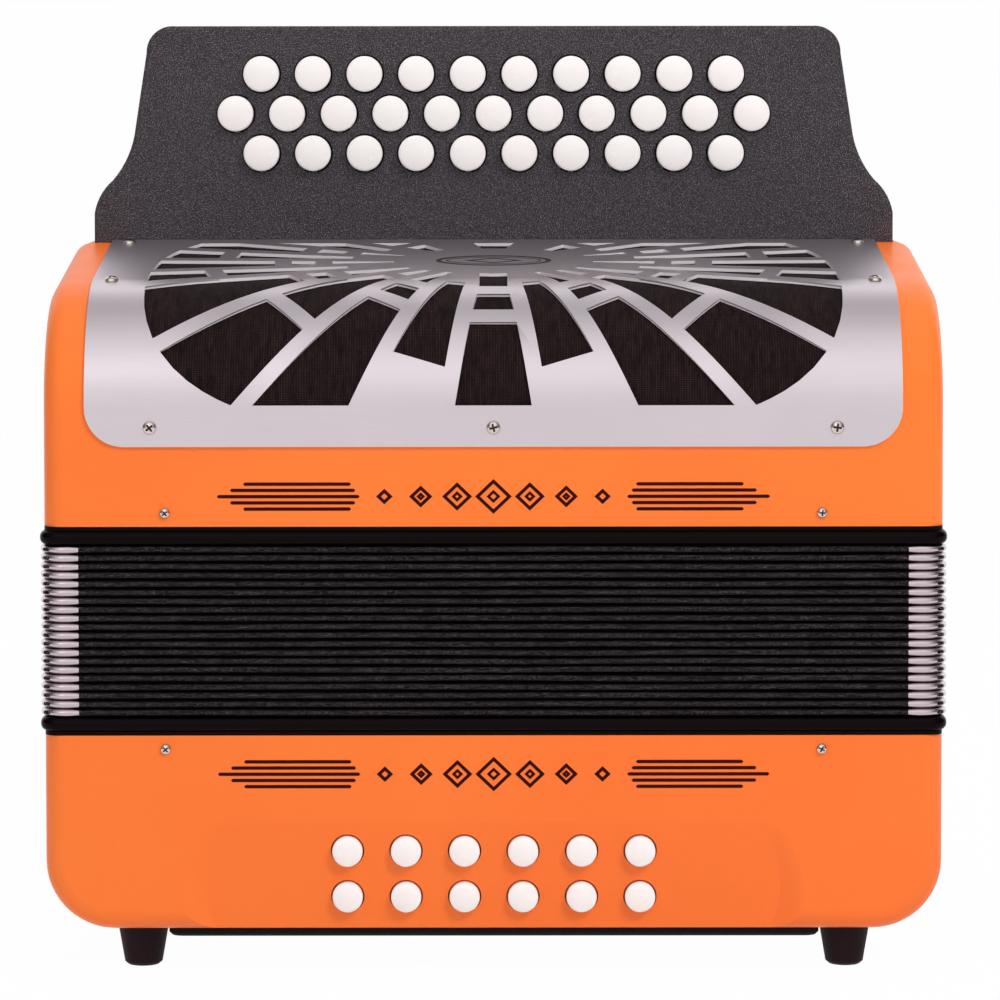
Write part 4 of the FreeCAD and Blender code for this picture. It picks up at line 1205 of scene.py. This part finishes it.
class ACCORDION_OT_strap(AccordionPiece, bpy.types.Operator):
    """Leather hand strap across the bass end"""
    bl_idname = "accordion.strap"
    bl_label = "Hand strap"

    def make(self):
        low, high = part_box("hand_strap")
        clear_selection()
        bpy.ops.mesh.primitive_grid_add(x_subdivisions=96, y_subdivisions=18, size=1, location=(0, 0, 0))
        piece = fresh("strap")
        half = (high.x - low.x) / 2
        thick = 2.5 * MM
        flat_end = 14 * MM
        ramp_length = 16 * MM
        margin = 0.4 * MM
        lift = 0.5 * MM
        crown_height = 0.35 * MM
        leather = thick - 0.9 * MM
        for vertex in piece.data.vertices:
            across = vertex.co.y * 2
            along = vertex.co.x * 2
            x = along * half
            ramp = min(1.0, max(0.0, (half - flat_end - abs(x)) / ramp_length))
            sag = ramp * ramp * (3 - 2 * ramp)
            crown = crown_height * (1 - across ** 4)
            vertex.co.x = x
            vertex.co.y = across * (high.y - margin)
            vertex.co.z = high.z - thick - sag * (high.z - thick - low.z) + lift - crown
        modify(piece, "SOLIDIFY", thickness=leather, offset=1.0)
        modify(piece, "BEVEL", width=0.4 * MM, segments=2, limit_method="ANGLE",
               angle_limit=math.radians(50))
        settle(piece, 50)
        finish_piece(piece, "bass", "black_leather", "leather", "hand_strap")


class ACCORDION_OT_ornament(AccordionPiece, bpy.types.Operator):
    """Line ornament on both cases: a chain of lozenges between pinstripes"""
    bl_idname = "accordion.ornament"
    bl_label = "Ornament"

    hub_width: length_property("Hub width", "Width of the oval on the grille", 41.5)
    hub_length: length_property("Hub length", "Its length up the slope", 21.0)
    hub_line: length_property("Hub line", "Width of its line", 1.8)
    hub_from_board: length_property("Hub place", "From the grille's rear edge to its middle", 45.3)

    def make(self):
        treble_height = 165.6 * MM
        bass_height = 69.6 * MM
        self.row("treble", treble_height)
        self.row("bass", bass_height)
        self.hub_mark()

    def hub_mark(self):
        """A dark oval and a finer one in it, round a lozenge, on the plain middle of the grille."""
        line = self.hub_line
        half = (self.hub_width / 2, self.hub_length / 2)
        parts = [self.frame_shape(48, 0, half[0], half[1], line),
                 self.frame_shape(48, 0, half[0] - 2 * line, half[1] - 2 * line, line / 3),
                 self.frame_shape(4, 0, half[0] / 2, half[1] / 2, line * 0.6)]
        piece = join(parts, "hub_mark")
        slope = sizes().slope
        along = Vector((0, math.cos(slope), math.sin(slope)))
        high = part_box("grille")[1]
        rear = Vector((0, high.y, high.z))
        place = rear - along * self.hub_from_board
        piece.matrix_world = Matrix.Translation(place) @ Matrix.Rotation(slope, 4, "X")
        settle(piece, 20)
        finish_piece(piece, "treble", "brushed_sheet", "mark")

    def row(self, body, middle_z):
        """One row of ornament, 12 mm tall and 190 mm wide, on the front of a body's case."""
        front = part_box("treble_case")[0].y
        line = sizes().inlay_line
        half_width = 95 * MM
        half_tall = 6.0 * MM
        smaller = 1.1 * MM
        pitch = 12.5 * MM
        last = 3
        parts = []
        for index in range(-last, last + 1):
            x = index * pitch
            size = half_tall - abs(index) * smaller
            parts.append(self.frame_shape(4, x, size * 1.05, size, line))
            if abs(index) < last:
                parts.append(self.frame_shape(4, x, size * 0.4, size * 0.38, line * 0.8))
        stripe_start = 46 * MM
        stagger = 4.5 * MM
        spacing = 2.15 * MM
        for side in (-1, 1):
            for rank in range(-2, 3):
                inner = stripe_start + abs(rank) * stagger / 3
                outer = half_width - abs(rank) * stagger
                parts.append(self.stripe(side * inner, side * outer, rank * spacing, line))
        piece = join(parts, body + "_ornament")
        piece.matrix_world = Matrix.Translation((0, front, middle_z)) @ Matrix.Rotation(math.pi / 2, 4, "X")
        settle(piece, 20)
        finish_piece(piece, body, "orange_case", "inlay")

    def thicken(self, piece):
        """Give a flat outline its thickness, from just inside the lacquer to just above it."""
        modify(piece, "SOLIDIFY", thickness=2 * sizes().inlay_lift, offset=0.0)
        return piece

    def frame_shape(self, corners, x, half_x, half_y, line):
        """A flat frame of straight sides, such as a lozenge."""
        clear_selection()
        bpy.ops.mesh.primitive_circle_add(vertices=corners, radius=1, fill_type="NGON", location=(x, 0, 0))
        piece = fresh("frame_shape")
        piece.scale = (half_x, half_y, 1)
        bpy.ops.object.transform_apply(location=True, rotation=True, scale=True)
        edit(piece, "FACE")
        select_all()
        bpy.ops.mesh.inset(thickness=line)
        bpy.ops.mesh.delete(type="FACE")
        bpy.ops.object.mode_set(mode="OBJECT")
        return self.thicken(piece)

    def stripe(self, start, end, level, line):
        """A straight line with pointed ends."""
        clear_selection()
        bpy.ops.mesh.primitive_plane_add(size=1, location=((start + end) / 2, level, 0))
        piece = fresh("stripe")
        piece.scale = (abs(end - start), line, 1)
        bpy.ops.object.transform_apply(location=True, rotation=True, scale=True)
        edit(piece, "VERT")
        select_all()
        bpy.ops.mesh.bevel(offset=line * 0.45, segments=1, affect="VERTICES")
        bpy.ops.object.mode_set(mode="OBJECT")
        return self.thicken(piece)


class ACCORDION_PT_panel(bpy.types.Panel):
    """Lists the accordion's makers and settings"""
    bl_idname = "ACCORDION_PT_panel"
    bl_label = "Button accordion"
    bl_space_type = "VIEW_3D"
    bl_region_type = "UI"
    bl_category = "Accordion"

    def draw(self, context):
        layout = self.layout
        for maker in makers:
            layout.operator(maker.bl_idname)
        for settings in (context.scene.accordion_sizes, context.scene.accordion_colours):
            for name in settings.__annotations__:
                layout.prop(settings, name)


makers = (ACCORDION_OT_stage, ACCORDION_OT_cases, ACCORDION_OT_treble_buttons, ACCORDION_OT_bass_buttons,
          ACCORDION_OT_bellows, ACCORDION_OT_screws, ACCORDION_OT_gauze, ACCORDION_OT_strap,
          ACCORDION_OT_ornament)
classes = (AccordionColours, AccordionSizes) + makers + (ACCORDION_PT_panel,)


def register():
    """Register the settings, operators and panel."""
    for item in classes:
        bpy.utils.register_class(item)
    bpy.types.Scene.accordion_colours = bpy.props.PointerProperty(type=AccordionColours)
    bpy.types.Scene.accordion_sizes = bpy.props.PointerProperty(type=AccordionSizes)


def unregister():
    """Take the settings, operators and panel away again."""
    del bpy.types.Scene.accordion_sizes
    del bpy.types.Scene.accordion_colours
    for item in reversed(classes):
        bpy.utils.unregister_class(item)


def main():
    """Make every piece in order."""
    register()
    for maker in makers:
        group, name = maker.bl_idname.split(".")
        getattr(getattr(bpy.ops, group), name)()


if __name__ == "__main__":
    main()
